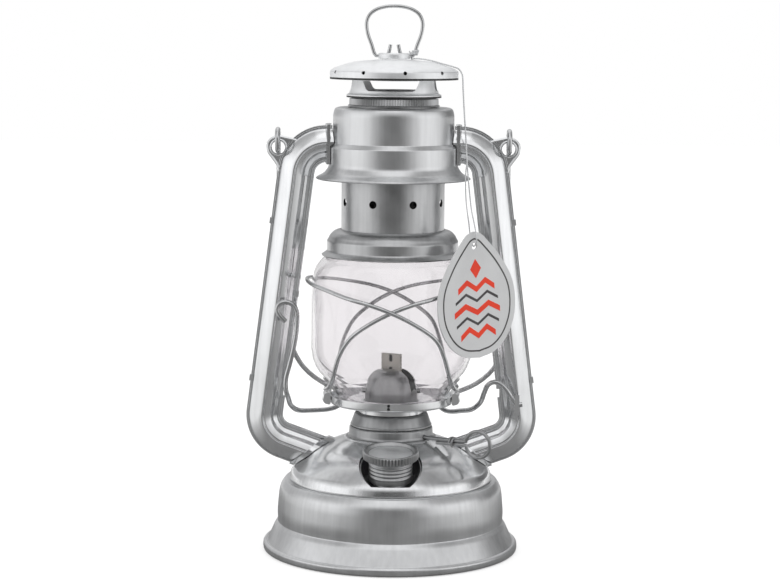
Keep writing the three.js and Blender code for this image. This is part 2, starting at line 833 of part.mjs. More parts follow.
// The shaft is one wire: out to the finger ring, round it and part of the way back
const ringStart = Math.asin(wick.wireRadius / wick.ringRadius);
const ringCentre = -wick.wireRadius;
const ringLoop = arc(
  wick.ringDistance, wick.shaftHeight + ringCentre, wick.ringRadius,
  180 * degree - ringStart, -180 * degree + ringStart, 12);
const shaftRoute = [
  wickPoint(shaftOffset, -wick.shaftInner, wick.shaftHeight),
  ...ringLoop.map(([along, height]) => wickPoint(shaftOffset, along, height)),
  wickPoint(shaftOffset, wick.returnStart, wick.shaftHeight - wick.wireRadius * 2 - seat / 2),
];
addPart('wick_shaft', wire(shaftRoute, wick.wireRadius), wireSteel);

function spurWheel(along) {
  const outline = Array.from({ length: wick.spurTeeth * 2 }, (_, i) => {
    const reach = i % 2 ? wick.spurRadius * 0.72 : wick.spurRadius;
    const angle = (i * 180 * degree) / wick.spurTeeth;
    return [reach * Math.cos(angle), reach * Math.sin(angle)];
  });
  const wheel = cut(
    plate(outline, -wick.spurWidth / 2, wick.spurWidth / 2),
    rod(point(0, -overrun, 0), point(0, overrun, 0), wick.wireRadius + seat / 2, holeSides));
  const place = new THREE.Matrix4().makeRotationZ(90 * degree - wick.azimuth);
  return moved(wheel, place.setPosition(wickPoint(shaftOffset, along, wick.shaftHeight)));
}
const spurPlace = wick.spurSpread - wick.spurWidth;
const spurHub = cut(
  rod(
    wickPoint(shaftOffset, -spurPlace, wick.shaftHeight), wickPoint(shaftOffset, spurPlace, wick.shaftHeight),
    wick.wireRadius + seat / 2 + sheet, holeSides),
  rod(
    wickPoint(shaftOffset, -wick.shaftInner, wick.shaftHeight),
    wickPoint(shaftOffset, wick.shaftInner, wick.shaftHeight), wick.wireRadius + seat / 2, holeSides));
addPart('wick_spurs', joined(spurWheel(-spurPlace), spurWheel(spurPlace), spurHub), satinTin);

const airHole = (_, i) => {
  const angle = ((i + 0.5) * 360 * degree) / burner.plateHoles;
  const [x, y] = [burner.plateHoleCircle * Math.cos(angle), burner.plateHoleCircle * Math.sin(angle)];
  return rod(
    point(x, y, burner.plateHeight - overrun), point(x, y, burner.plateHeight + overrun),
    burner.plateHoleRadius, holeSides);
};
const coneShrink = (burner.coneRadius - burner.coneTopRadius)
  * ((burner.plateHeight - coneBase) / (burner.coneTop - coneBase));
addPart('burner_plate', cut(
  disc(0, burner.coneRadius - coneShrink - sheet - seat, burner.plateHeight, burner.plateHeight + sheet, smallSides),
  wickBlock(tubeHalf + wick.tubeWall + seat, tubeThick + wick.tubeWall + seat,
    burner.plateHeight - overrun, burner.plateHeight + overrun),
  ...Array.from({ length: burner.plateHoles }, airHole),
), satinTin);

const flameBase = burner.coneTop + seat;
const flameCap = turned(wall([
  [burner.capRadius, flameBase],
  [burner.capRadius, burner.capShoulder],
  ...bend(
    [burner.capRadius - sheet / 3, burner.capShoulder + sheet],
    [burner.capRadius - sheet, burner.capTop - sheet],
    [burner.capRadius * 0.12, burner.capTop], 3),
]), smallSides);
const rivet = (side) => rod(
  point(side * (burner.capRadius - sheet), 0, burner.rivetHeight),
  point(side * (burner.capRadius + burner.rivetReach), 0, burner.rivetHeight), burner.rivetRadius, holeSides);
addPart('burner_dome', cut(
  joined(flameCap, rivet(-1), rivet(1)),
  wickBlock(burner.capRadius - sheet, burner.slotWidth / 2, burner.slotBase, burner.capTop + overrun),
), satinTin);

// Carriage

const hubBase = burner.coneTop + seat;
addPart('globe_plate', turned(wall([
  [carriage.hubRadius, hubBase],
  [carriage.hubRadius, carriage.deckHeight],
  [carriage.troughRadius - carriage.deckEdge, carriage.deckHeight],
  [carriage.troughRadius, carriage.troughHeight],
  [carriage.rimRadius - carriage.deckEdge, carriage.troughHeight],
  [carriage.rimRadius, carriage.rimBase],
  [carriage.rimRadius, carriage.rimTop],
])), brightTin);

// Globe outline as shares: of the way from the foot radius to the full radius, and of its height
const globeHeight = globe.top - globe.base;
const globeFootShares = [
  [0, 0], [0.05, 0.04], [0.5, 0.142], [0.83, 0.22], [1, 0.37], [0.985, 0.735],
];
const globeNeckShares = [[0.84, 0.842], [0.7, 0.874], [0, 0.945], [0, 1]];
const globeLine = [
  ...globeFootShares.map(([across, up]) => [
    globe.footRadius + (globe.radius - globe.footRadius) * across, globe.base + globeHeight * up]),
  ...globeNeckShares.map(([across, up]) => [
    globe.neckRadius + (globe.radius - globe.neckRadius) * across, globe.base + globeHeight * up]),
];
addPart('globe', turned(wall(globeLine, globe.wall)), clearGlass);

const clipBand = globeLine.slice(1, 3).map(([r, z]) => [r + seat, z]);
const clip = turned(wall(clipBand, -sheet)).intersect(block(
  [0, -carriage.clipWidth / 2, globe.base], [globe.radius, carriage.clipWidth / 2, globe.top]));
addPart('globe_clip_right', clip, brightTin);
addPart('globe_clip_left', mirrored(clip, -1, 1), brightTin);

const lugInner = carriage.rimRadius + seat;
const lugOuter = lugInner + carriage.lugReach;
const lugRing = turned([
  [lugInner, carriage.lugBase + sheet],
  [lugInner + sheet, carriage.lugBase],
  [lugOuter - sheet, carriage.lugBase + sheet],
  [lugOuter, carriage.lugTop - carriage.lugReach],
  [lugOuter - sheet, carriage.lugTop - sheet],
  [lugInner + sheet, carriage.lugTop],
  [lugInner, carriage.lugTop - sheet],
]);
const lug = lugRing.intersect(block(
  [0, -carriage.lugWidth / 2, 0], [globe.radius, carriage.lugWidth / 2, globe.top]));
addPart('guard_lug_right', lug, brightTin);
addPart('guard_lug_left', mirrored(lug, -1, 1), brightTin);

// A guard wire runs from its lug up round the far side of the globe, and back to the lug. Where the
// two wires cross, the right one passes outside the left one.
// Rows: azimuth from the lug in degrees, share of the guard's radius, share of its rise.
const guardShares = [
  [9, 0.785, 0], [14, 0.785, 0.01], [30, 0.83, 0.06], [42, 0.91, 0.15], [52, 0.98, 0.37], [62, 1, 0.55],
  [76, 1, 0.69], [90, 1, 0.79], [104, 1, 0.86], [118, 1, 0.905], [138, 1, 0.953], [160, 1, 0.985], [180, 1, 1],
];
const guardSteps = 32;
const guardBase = carriage.lugTop + seat + guard.wireRadius;
const crossing = [60, 120];
const guardSide = (turn, outside) => guardShares.map(([azimuth, out, up]) => {
  const crosses = azimuth > crossing[0] && azimuth < crossing[1];
  const radius = guard.radius * out + (crosses ? outside : 0);
  return point(
    radius * Math.cos(azimuth * degree), turn * radius * Math.sin(azimuth * degree),
    guardBase + (guard.top - guardBase) * up);
});
const guardWire = (outside) => wire(smooth(
  [...guardSide(-1, outside), ...guardSide(1, outside).reverse().slice(1)], guardSteps), guard.wireRadius);
addPart('guard_wire_right', guardWire(guard.wireRadius * 2 + seat), wireSteel);
addPart('guard_wire_left', mirrored(guardWire(0), -1, 1), wireSteel);

// Chimney: crown over the globe, tube, pipe through the hood, and the spring that holds it down

const crownLine = [
  [chimney.lipRadius, chimney.lipBase],
  [chimney.bandRadius, chimney.bandBase],
  [chimney.bandRadius, chimney.bandTop],
  ...bend(
    [chimney.bandRadius - sheet / 2, chimney.bandTop + sheet],
    [chimney.bandRadius - sheet, chimney.shoulderTop - sheet * 2],
    [chimney.tubeRadius + sheet * 3, chimney.shoulderTop - sheet / 2], 2),
  [chimney.tubeRadius + seat, chimney.shoulderTop],
];
addPart('crown', turned(wall(crownLine)), satinTin);

const ringHole = (count, radius, reach, height, turn) => Array.from({ length: count }, (_, i) => {
  const angle = turn + (i * 360 * degree) / count;
  return rod(
    point(0, 0, height), point(reach * Math.cos(angle), reach * Math.sin(angle), height), radius, holeSides);
});
const pipeShoulder = chimney.tubeTop - sheet;
addPart('chimney_tube', cut(
  turned(wall([
    [chimney.tubeRadius + sheet * 3, chimney.shoulderTop - sheet * 2.6],
    [chimney.tubeRadius, chimney.shoulderTop - sheet * 1.6],
    [chimney.tubeRadius, pipeShoulder],
    [chimney.tubeRadius - sheet, chimney.tubeTop],
    [chimney.pipeRadius - sheet * 2, chimney.tubeTop],
  ])),
  ...ringHole(chimney.holes, chimney.holeRadius, chimney.bandRadius, chimney.holeHeight, chimney.holeTurn),
), satinTin);

const pipeBase = chimney.tubeTop + seat;
addPart('chimney_pipe', turned(wall([
  [chimney.pipeRadius, pipeBase],
  [chimney.pipeRadius, chimney.pipeTop],
])), satinTin);

const springLow = pipeBase + chimney.springWire;
const springHigh = hood.top - sheet - seat - chimney.springWire;
const turnSteps = 8;
const springSteps = chimney.springTurns * turnSteps;
const endSteps = turnSteps;
const springRadius = (chimney.pipeRadius + seat + chimney.springWire)
  / Math.cos((180 * degree) / turnSteps);
const springRoute = Array.from({ length: springSteps + 1 }, (_, i) => {
  const angle = (i * 360 * degree) / turnSteps;
  const share = THREE.MathUtils.clamp((i - endSteps) / (springSteps - endSteps * 2), 0, 1);
  return point(
    springRadius * Math.cos(angle), springRadius * Math.sin(angle),
    springLow + (springHigh - springLow) * share);
});
addPart('chimney_spring', wire(springRoute, chimney.springWire, 5), wireSteel);

// Cap: a ring of windows, a plate, a domed lid with a boss, and the hand ring

const ringLine = [
  [cap.ringLipRadius, cap.ringLipBase],
  [cap.ringLipRadius, cap.ringLipBase + cap.ringLip],
  [cap.ringRadius, cap.ringLipBase + cap.ringLip + sheet],
  [cap.ringTopRadius, cap.ringTop],
];
const windowCut = (width, sillWidth, height) => plate([
  [-sillWidth / 2 + sheet * 2, cap.windowSill],
  [sillWidth / 2 - sheet * 2, cap.windowSill],
  [sillWidth / 2, cap.windowSill + sheet],
  [width / 2, height],
  [-width / 2, height],
  [-sillWidth / 2, cap.windowSill + sheet],
], -cap.radius, cap.radius);
const windowTop = cap.ringTop - sheet;
const frontWindow = windowCut(cap.windowWidth, cap.windowSillWidth, windowTop);
const sideWindow = moved(
  windowCut(cap.sideWindowWidth, cap.sideWindowWidth - sheet * 3, windowTop),
  new THREE.Matrix4().makeRotationZ(90 * degree));
addPart('window_ring', cut(turned(wall(ringLine)), frontWindow, sideWindow), brightTin);

const capPlateBase = cap.ringTop + seat;
addPart('cap_plate', disc(
  0, cap.radius - sheet - seat, capPlateBase, capPlateBase + sheet), brightTin);
const lidLine = [
  [cap.radius, cap.rimBase - sheet],
  [cap.radius, cap.rimTop],
  ...bend(
    [cap.radius - sheet, cap.rimTop + sheet * 1.4],
    [cap.radius * 0.62, cap.domeTop - sheet * 2],
    [cap.bossRadius, cap.domeTop - sheet / 4], 2),
  [0, cap.domeTop],
];
const lidInner = beside(lidLine, sheet).reverse();
lidInner[0] = [0, cap.domeTop - sheet];
addPart('cap_lid', cut(
  turned([...lidLine, ...lidInner]),
  ...ringHole(cap.holes, cap.holeRadius, cap.radius + overrun, cap.rimTop, cap.holeTurn - 90 * degree),
), brightTin);

const bossBase = cap.domeTop + seat / 2;
const bossRing = disc(cap.bossRadius - cap.bossWall, cap.bossRadius, bossBase, cap.bossTop, smallSides);
addPart('cap_boss', cut(bossRing, rod(
  point(-cap.radius, 0, handRing.pivotHeight), point(cap.radius, 0, handRing.pivotHeight),
  handRing.wireRadius + seat, holeSides)), brightTin);

// Shares of the ring's half width and height, from the pivot up to the top
const handRingShares = [
  [0.72, 0.045], [0.82, 0.22], [0.94, 0.4], [1, 0.56], [0.985, 0.71], [0.87, 0.84], [0.64, 0.933],
  [0.33, 0.985], [0, 1],
];
const stubX = handRing.wireRadius * 3;
const ringSide = (side) => [
  point(side * stubX, 0, handRing.pivotHeight + handRing.stubHeight),
  point(side * stubX * 1.5, 0, handRing.pivotHeight + handRing.wireRadius),
  point(side * (stubX * 1.5 + handRing.wireRadius), 0, handRing.pivotHeight),
  point(side * handRing.legHalfSpan, 0, handRing.pivotHeight),
  ...handRingShares.map(([out, up]) => point(
    side * handRing.halfWidth * out, 0, handRing.pivotHeight + handRing.height * up)),
];
addPart('hand_ring', wire([...ringSide(-1), ...ringSide(1).reverse().slice(1)], handRing.wireRadius), wireSteel);

// Hood

const hoodLine = [
  [hood.flangeRadius, hood.flangeBase],
  ...bend(
    [hood.flangeRadius - sheet, hood.flangeBase + sheet * 1.4],
    [hood.lowerRadius + sheet, hood.lowerBase - sheet * 4],
    [hood.lowerRadius, hood.lowerBase], 2),
  [hood.lowerRadius, hood.stepHeight],
  [hood.upperRadius, hood.stepHeight + hood.lowerRadius - hood.upperRadius],
  [hood.upperRadius, hood.edgeHeight],
  ...bend(
    [hood.upperRadius - sheet / 4, hood.edgeHeight + sheet],
    [hood.upperRadius - sheet / 2, hood.top],
    [hood.upperRadius - sheet * 3.4, hood.top], 1),
  [chimney.pipeRadius + seat, hood.top],
];
addPart('hood', cut(turned(wall(hoodLine)), tubeHollow, mirrored(tubeHollow, -1, 1)), satinTin);
addPart('hood_collar', turned(wall([
  [hood.collarRadius + sheet, hood.top + seat * 2],
  [hood.collarRadius, hood.top + seat * 2 + sheet],
  [hood.collarRadius, hood.collarTop],
], sheet - seat / 2)), satinTin);
addPart('hood_baffle', disc(
  chimney.tubeRadius + seat, hood.lowerRadius - sheet - seat, hood.baffleHeight,
  hood.baffleHeight + sheet), satinTin);

// Carrying bail, hanging behind the lantern; rows are shares of half its width and of its length
const bailShares = [
  [1, 0.06], [1, 0.35], [0.985, 0.66], [0.955, 0.78], [0.86, 0.866], [0.7, 0.925], [0.48, 0.965],
  [0.25, 0.99], [0, 1],
];
const bailPlace = (x, down, back) => point(
  x,
  down * Math.sin(bail.tilt) + back * Math.cos(bail.tilt),
  bail.pivotZ - down * Math.cos(bail.tilt) + back * Math.sin(bail.tilt));
const bailEye = (side) => arc(0, 0, bail.eyeRadius, bail.eyeEnd, bail.eyeStart, 9).map(([back, up]) => (
  bailPlace(side * bail.pivotX, -up, back)));
const bailLeg = (side) => bailShares.map(([out, down]) => bailPlace(
  side * bail.pivotX * out + bail.sway * down ** 2, down * bail.length, bail.eyeRadius / 2));
const bailSteps = 24;
const bailRoute = [
  ...bailEye(-1),
  ...smooth([...bailLeg(-1), ...bailLeg(1).reverse().slice(1)], bailSteps),
  ...bailEye(1).reverse(),
];
addPart('carrying_bail', wire(bailRoute, bail.wireRadius), wireSteel);

// Lift lever: one wire from the bracket on the right tube, round the back of the burner under the
// globe plate, and up in front of the left tube to a finger hook.
// Rows: share of the reach from the pivot, depth, and share of the hook's rise. The depth is a share
// of the way to the front of the tubes where it is negative, and to the back of the burner elsewhere.
const leverShares = [
  [-0.032, -1, 0], [0, -1, 0], [0.014, -1, 0.06], [0.04, -1, 0.147], [0.067, -1, 0.204], [0.096, -1, 0.223],
  [0.121, -0.86, 0.19], [0.136, -0.6, 0.11], [0.151, -0.25, 0], [0.184, 0.12, -0.09], [0.232, 0.41, -0.135],
  [0.304, 0.73, -0.16],
];
const leverPushShares = [[0.377, 0.94], [0.454, 1], [0.556, 1], [0.676, 0.99], [0.744, 0.91]];
const leverHookShares = [
  [0.813, 0.71, -0.14], [0.915, 0.35, -0.14], [0.975, 0.14, -0.12], [1.003, -0.2, -0.055],
  [1.012, -0.75, 0.03], [1.023, -1, 0.125], [1.024, -1, 0.23], [1.008, -1, 0.375], [0.991, -1, 0.53],
  [0.979, -1, 0.68], [0.974, -1, 0.82], [0.977, -1, 0.91], [0.994, -1, 0.975], [1.024, -1, 1],
  [1.053, -1, 0.98], [1.064, -1, 0.925], [1.053, -1, 0.87], [1.024, -1, 0.805],
];
const leverSteps = 48;
const leverFront = tube.depth + lever.frontGap + lever.wireRadius;
const leverBack = burner.collarRadius + lever.burnerGap + lever.wireRadius;
const pushHeight = carriage.troughHeight - seat - lever.wireRadius;
const leverPoint = ([out, depth, rise]) => point(
  lever.pivotX - lever.reach * out,
  depth * (depth < 0 ? leverFront : leverBack),
  lever.pivotZ + lever.hookRise * rise);
const leverRoute = smooth([
  ...leverShares.map(leverPoint),
  ...leverPushShares.map(([out, depth]) => point(
    lever.pivotX - lever.reach * out, leverBack * depth, pushHeight)),
  ...leverHookShares.map(leverPoint),
], leverSteps);
addPart('lift_lever', wire(leverRoute, lever.wireRadius), wireSteel);

const bracketX = lever.pivotX + lever.bracketShift;
const bracketFront = leverFront + lever.wireRadius + seat + lever.bracketWall;
addPart('lever_bracket', cut(
  block(
    [bracketX - lever.bracketWidth / 2, -bracketFront, lever.pivotZ - lever.bracketHeight / 2],
    [bracketX + lever.bracketWidth / 2, -tube.depth - seat, lever.pivotZ + lever.bracketHeight / 2]),
  block(
    [bracketX - lever.bracketWidth, -bracketFront + lever.bracketWall,
      lever.pivotZ - lever.bracketHeight / 2 + lever.bracketWall],
    [bracketX + lever.bracketWidth, 0, lever.pivotZ + lever.bracketHeight / 2 - lever.bracketWall]),
), brightTin);

// Hang tag: an egg-shaped card; shares of half its width and of its height, from the bottom up
const tagShares = [
  [0, 0], [0.4, 0.03], [0.72, 0.12], [0.95, 0.28], [1, 0.45], [0.93, 0.59], [0.68, 0.76], [0.38, 0.9],
  [0.16, 0.98],
];
const tagOutline = [
  ...tagShares.map(([out, up]) => [(tag.width * out) / 2, tag.height * (up - 1)]),
  [0, 0],
  ...tagShares.slice(1).reverse().map(([out, up]) => [(-tag.width * out) / 2, tag.height * (up - 1)]),
];
const tagHole = rod(
  point(0, -tag.thickness * 2, -tag.holeDrop), point(0, tag.thickness * 2, -tag.holeDrop), tag.holeRadius, 10);
const tagCard = cut(plate(tagOutline, -tag.thickness / 2, tag.thickness / 2), tagHole);
const tagPlace = new THREE.Matrix4()
  .makeRotationZ(tag.turn)
  .multiply(new THREE.Matrix4().makeRotationY(-tag.lean))
  .setPosition(...tag.apex);
addPart('hang_tag', moved(tagCard, tagPlace), card);

// String: a loop round the foot of the hand ring, then over the cap and past the hood to the tag
const knot = point(cap.bossRadius + seat / 2 + string.radius, 0, handRing.pivotHeight);
const loopSides = 8;
const loopRadius = (handRing.wireRadius + string.radius + string.loopGap)
  / Math.cos((180 * degree) / loopSides);
const knotPoint = (turn, out = 0) => knot.clone().add(point(
  out, -loopRadius * Math.sin(turn * degree), loopRadius * Math.cos(turn * degree)));
const around = (radius, azimuth, height) => point(
  radius * Math.cos(azimuth * degree), -radius * Math.sin(azimuth * degree), height);
// Rows: share of the lid's radius, azimuth in degrees, share of the height from its rim to the ring
const overCapShares = [
  [0.36, 13, 0.835], [0.462, 13.5, 0.8], [0.567, 13, 0.73], [0.761, 12.9, 0.52], [0.936, 13.5, 0.33],
  [1.035, 13.7, 0.154], [1.085, 14.1, -0.205],
];
// Rows: share of the flange's radius, azimuth in degrees, share of the height from the hole to the lid
const pastHoodShares = [
  [0.908, 15.4, 0.915], [0.94, 18.2, 0.777], [0.979, 21.2, 0.64], [1.02, 24.2, 0.5], [1.07, 27.2, 0.375],
  [1.12, 29.9, 0.284], [1.174, 32.5, 0.208], [1.243, 34.9, 0.141],
];
// Rows: depth and height from the tag's hole, as shares of how far the hole is under the edge
const tagLoopShares = [
  [-0.275, 0.93], [-0.29, 0.28], [0, 0], [0.263, 0.253], [0.347, 0.787], [0.423, 1.427], [0.517, 2],
];
const holeHeight = tag.apex[2] - tag.holeDrop;
const stringSteps = 42;
// The string's tail as shares of its length, and the turns of the loop round the ring in degrees
const tailShares = [[0.5, 1.4, 1], [0.25, 1.1, 0.6]];
const loopTurns = [67.5, 22.5, -22.5, -67.5, -112.5, -157.5];
const loopEnd = -202.5;
const stringRoute = [
  ...tailShares.map(([out, forwards, up]) => knot.clone().add(point(
    -string.tail * out, -string.tail * forwards, string.tail * up))),
  ...loopTurns.map((turn) => knotPoint(turn)),
  ...smooth([
    knotPoint(loopEnd, string.radius / 2),
    ...overCapShares.map(([out, azimuth, up]) => around(
      cap.radius * out, azimuth, cap.rimTop + (handRing.pivotHeight - cap.rimTop) * up)),
    ...pastHoodShares.map(([out, azimuth, up]) => around(
      hood.flangeRadius * out, azimuth, holeHeight + (cap.rimTop - holeHeight) * up)),
    ...tagLoopShares.map(([depth, up]) => point(
      0, tag.holeDrop * depth, tag.holeDrop * (up - 1)).applyMatrix4(tagPlace)),
  ], stringSteps),
];
addPart('tag_string', wire(stringRoute, string.radius, 8), silverString);

export default group;
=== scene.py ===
"""Looks of the hurricane lantern: turned and pressed tin, bent wire, glass, a card tag on a string."""
import json
import math

import bpy
from mathutils import Matrix, Vector


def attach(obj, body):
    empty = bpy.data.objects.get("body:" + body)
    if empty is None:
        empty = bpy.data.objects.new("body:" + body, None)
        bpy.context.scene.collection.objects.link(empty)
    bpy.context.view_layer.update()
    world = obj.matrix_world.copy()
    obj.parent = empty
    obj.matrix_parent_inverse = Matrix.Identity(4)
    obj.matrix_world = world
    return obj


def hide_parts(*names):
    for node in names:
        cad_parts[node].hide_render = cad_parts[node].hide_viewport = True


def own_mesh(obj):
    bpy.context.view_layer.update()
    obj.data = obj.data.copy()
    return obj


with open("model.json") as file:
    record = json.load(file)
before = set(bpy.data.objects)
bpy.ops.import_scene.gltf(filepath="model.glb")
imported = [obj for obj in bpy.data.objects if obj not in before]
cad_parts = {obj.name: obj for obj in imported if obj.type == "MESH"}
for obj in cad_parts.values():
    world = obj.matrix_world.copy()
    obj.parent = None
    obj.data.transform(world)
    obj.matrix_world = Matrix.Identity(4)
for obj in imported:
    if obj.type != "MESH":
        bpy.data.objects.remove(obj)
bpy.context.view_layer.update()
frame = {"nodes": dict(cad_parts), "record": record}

# Every place and length is written in millimetres, and MM takes it to Blender's metres
MM = 0.001
DEGREE = math.pi / 180
MERGE_GAP = 0.01
ROUND_STEPS = 96
SHEET = 0.7
WICK_TURN = 27 * DEGREE
NODE_BODY = {
    node: body
    for body, nodes in frame["record"]["behaviour"]["bodies"].items()
    for node in nodes
}


# Modelling steps

def let_go():
    """Leave edit mode and drop the whole selection."""
    if bpy.context.object and bpy.context.object.mode != "OBJECT":
        bpy.ops.object.mode_set(mode="OBJECT")
    bpy.ops.object.select_all(action="DESELECT")


def pick_up(obj, mode="OBJECT"):
    let_go()
    obj.select_set(True)
    bpy.context.view_layer.objects.active = obj
    if mode == "EDIT":
        bpy.ops.object.mode_set(mode="EDIT")


def settle():
    """Put the place, turn and size of the piece in hand into its mesh."""
    bpy.ops.object.transform_apply(location=True, rotation=True, scale=True)


def draw_line(name, places, closed=False):
    """A line of vertices through the places, in millimetres, extruded one after the other."""
    let_go()
    bpy.ops.mesh.primitive_plane_add(size=MM, location=Vector(places[0]) * MM)
    obj = bpy.context.object
    obj.name = name
    settle()
    bpy.ops.object.mode_set(mode="EDIT")
    bpy.ops.mesh.select_mode(type="VERT")
    bpy.ops.mesh.select_all(action="SELECT")
    bpy.ops.mesh.merge(type="CENTER")
    for start, end in zip(places, places[1:]):
        step = (Vector(end) - Vector(start)) * MM
        bpy.ops.mesh.extrude_region_move(TRANSFORM_OT_translate={"value": step})
    if closed:
        bpy.ops.mesh.select_all(action="DESELECT")
        bpy.ops.object.mode_set(mode="OBJECT")
        obj.data.vertices[0].select = True
        obj.data.vertices[len(places) - 1].select = True
        bpy.ops.object.mode_set(mode="EDIT")
        bpy.ops.mesh.edge_face_add()
    bpy.ops.mesh.select_all(action="SELECT")
    return obj


def close_up(obj, inside=False):
    """Merge doubles and turn every face outwards."""
    bpy.ops.mesh.select_all(action="SELECT")
    bpy.ops.mesh.remove_doubles(threshold=MERGE_GAP * MM)
    bpy.ops.mesh.normals_make_consistent(inside=inside)
    bpy.ops.object.mode_set(mode="OBJECT")
    return obj


def apply_all(obj):
    pick_up(obj)
    for modifier in list(obj.modifiers):
        bpy.ops.object.modifier_apply(modifier=modifier.name)
    return obj


def thicken(obj, thickness, offset=-1):
    """Give a skin its sheet thickness, inwards."""
    skin = obj.modifiers.new("thickness", "SOLIDIFY")
    skin.thickness = thickness * MM
    skin.offset = offset
    skin.use_even_offset = True
    return apply_all(obj)


def cut_away(obj, *tools, operation="DIFFERENCE"):
    for tool in tools:
        cut = obj.modifiers.new("cut", "BOOLEAN")
        cut.operation = operation
        cut.solver = "EXACT"
        cut.object = tool
        apply_all(obj)
    return obj


def throw_away(*tools):
    for tool in tools:
        bpy.data.objects.remove(tool)


def carve(obj, *tools, operation="DIFFERENCE"):
    """Cut the piece with tools that nothing else needs."""
    cut_away(obj, *tools, operation=operation)
    throw_away(*tools)
    return obj


def smooth(obj, angle=32):
    pick_up(obj)
    bpy.ops.object.shade_smooth_by_angle(angle=angle * DEGREE)
    return obj


def copy_of(obj, name):
    pick_up(obj)
    bpy.ops.object.duplicate()
    twin = bpy.context.object
    twin.name = name
    return twin


def mirrored(obj, name, x=1, y=1):
    """A copy of the piece, mirrored about the lantern's axis."""
    twin = copy_of(obj, name)
    twin.scale = (x, y, 1)
    settle()
    if x * y < 0:
        bpy.ops.object.mode_set(mode="EDIT")
        bpy.ops.mesh.select_all(action="SELECT")
        bpy.ops.mesh.normals_make_consistent(inside=False)
        bpy.ops.object.mode_set(mode="OBJECT")
    return twin


# The largest share of a side that a rounded corner takes
CORNER_SHARE = 0.48


def eased(outline, steps=4):
    """The outline with each corner rounded that has a third number, its radius."""
    line = []
    for i, spot in enumerate(outline):
        here = Vector(spot[:2])
        if len(spot) < 3 or i in (0, len(outline) - 1):
            line.append(tuple(here))
            continue
        before = Vector(outline[i - 1][:2]) - here
        after = Vector(outline[i + 1][:2]) - here
        reach = min(spot[2], before.length * CORNER_SHARE, after.length * CORNER_SHARE)
        start = here + before.normalized() * reach
        end = here + after.normalized() * reach
        for k in range(steps + 1):
            t = k / steps
            line.append(tuple(start.lerp(here, t).lerp(here.lerp(end, t), t)))
    return line


def arc(centre, radius, start, end, steps):
    return [
        (
            centre[0] + radius * math.cos((start + (end - start) * i / steps) * DEGREE),
            centre[1] + radius * math.sin((start + (end - start) * i / steps) * DEGREE),
        )
        for i in range(steps + 1)
    ]


def flowing(places, gap=1.5):
    """Places on a smooth curve through the given ones, about one gap apart."""
    points = [Vector(p) for p in places]
    points = [points[0] * 2 - points[1], *points, points[-1] * 2 - points[-2]]
    line = []
    for a, b, c, d in zip(points, points[1:], points[2:], points[3:]):
        knots = [0.0]
        for p, q in ((a, b), (b, c), (c, d)):
            knots.append(knots[-1] + max((q - p).length, 1e-6) ** 0.5)
        steps = max(1, round((c - b).length / gap))
        for k in range(steps):
            t = knots[1] + (knots[2] - knots[1]) * k / steps
            a1 = a.lerp(b, (t - knots[0]) / (knots[1] - knots[0]))
            a2 = b.lerp(c, (t - knots[1]) / (knots[2] - knots[1]))
            a3 = c.lerp(d, (t - knots[2]) / (knots[3] - knots[2]))
            b1 = a1.lerp(a2, (t - knots[0]) / (knots[2] - knots[0]))
            b2 = a2.lerp(a3, (t - knots[1]) / (knots[3] - knots[1]))
            line.append(b1.lerp(b2, (t - knots[1]) / (knots[2] - knots[1])))
    return [*line, points[-2]]


def turned(name, outline, thickness=None, steps=ROUND_STEPS, closed=False):
    """Spin an outline of (radius, height) about the lantern's axis, and give it a thickness."""
    line = [(radius, 0, height) for radius, height in eased(outline)]
    obj = draw_line(name, line, closed)
    bpy.ops.mesh.spin(steps=steps, angle=math.tau, center=(0, 0, 0), axis=(0, 0, 1))
    close_up(obj)
    if thickness:
        thicken(obj, thickness)
    return obj


def pinch(obj, count, factors, chosen):
    """Draw in the columns of a turned piece in a repeating row of factors, where its wall is chosen."""
    for k, factor in enumerate(factors):
        if factor == 1:
            continue
        pick_up(obj, "EDIT")
        bpy.ops.mesh.select_mode(type="VERT")
        bpy.ops.mesh.select_all(action="DESELECT")
        bpy.ops.object.mode_set(mode="OBJECT")
        for vertex in obj.data.vertices:
            x, y, z = vertex.co / MM
            column = round(math.atan2(y, x) / math.tau * count * len(factors))
            vertex.select = column % len(factors) == k and chosen(math.hypot(x, y), z)
        bpy.ops.object.mode_set(mode="EDIT")
        bpy.ops.transform.resize(value=(factor, factor, 1), center_override=(0, 0, 0))
        bpy.ops.object.mode_set(mode="OBJECT")
    return obj


def bent_wire(name, places, radius, sides=6):
    """A wire along the places."""
    obj = draw_line(name, places)
    bpy.ops.object.mode_set(mode="OBJECT")
    bpy.ops.object.convert(target="CURVE")
    obj = bpy.context.object
    obj.data.dimensions = "3D"
    obj.data.bevel_depth = radius * MM
    obj.data.bevel_resolution = sides // 2
    obj.data.use_fill_caps = True
    bpy.ops.object.convert(target="MESH")
    obj = bpy.context.object
    obj.name = name
    bpy.ops.object.mode_set(mode="EDIT")
    return close_up(obj)


def bar(name, start, end, radius, sides=24):
    """A round bar between two places."""
    start, end = Vector(start) * MM, Vector(end) * MM
    let_go()
    bpy.ops.mesh.primitive_cylinder_add(
        vertices=sides, radius=radius * MM, depth=(end - start).length, location=(start + end) / 2,
        rotation=(end - start).to_track_quat("Z", "Y").to_euler())
    obj = bpy.context.object
    obj.name = name
    settle()
    return obj


def spoke(name, angle, inner, outer, height, radius, sides=24):
    """A round bar that points straight out from the lantern's axis."""
    x, y = math.cos(angle), math.sin(angle)
    return bar(name, (x * inner, y * inner, height), (x * outer, y * outer, height), radius, sides)


def block(name, low, high):
    low, high = Vector(low) * MM, Vector(high) * MM
    let_go()
    bpy.ops.mesh.primitive_cube_add(size=1, location=(low + high) / 2, scale=high - low)
    obj = bpy.context.object
    obj.name = name
    settle()
    return obj


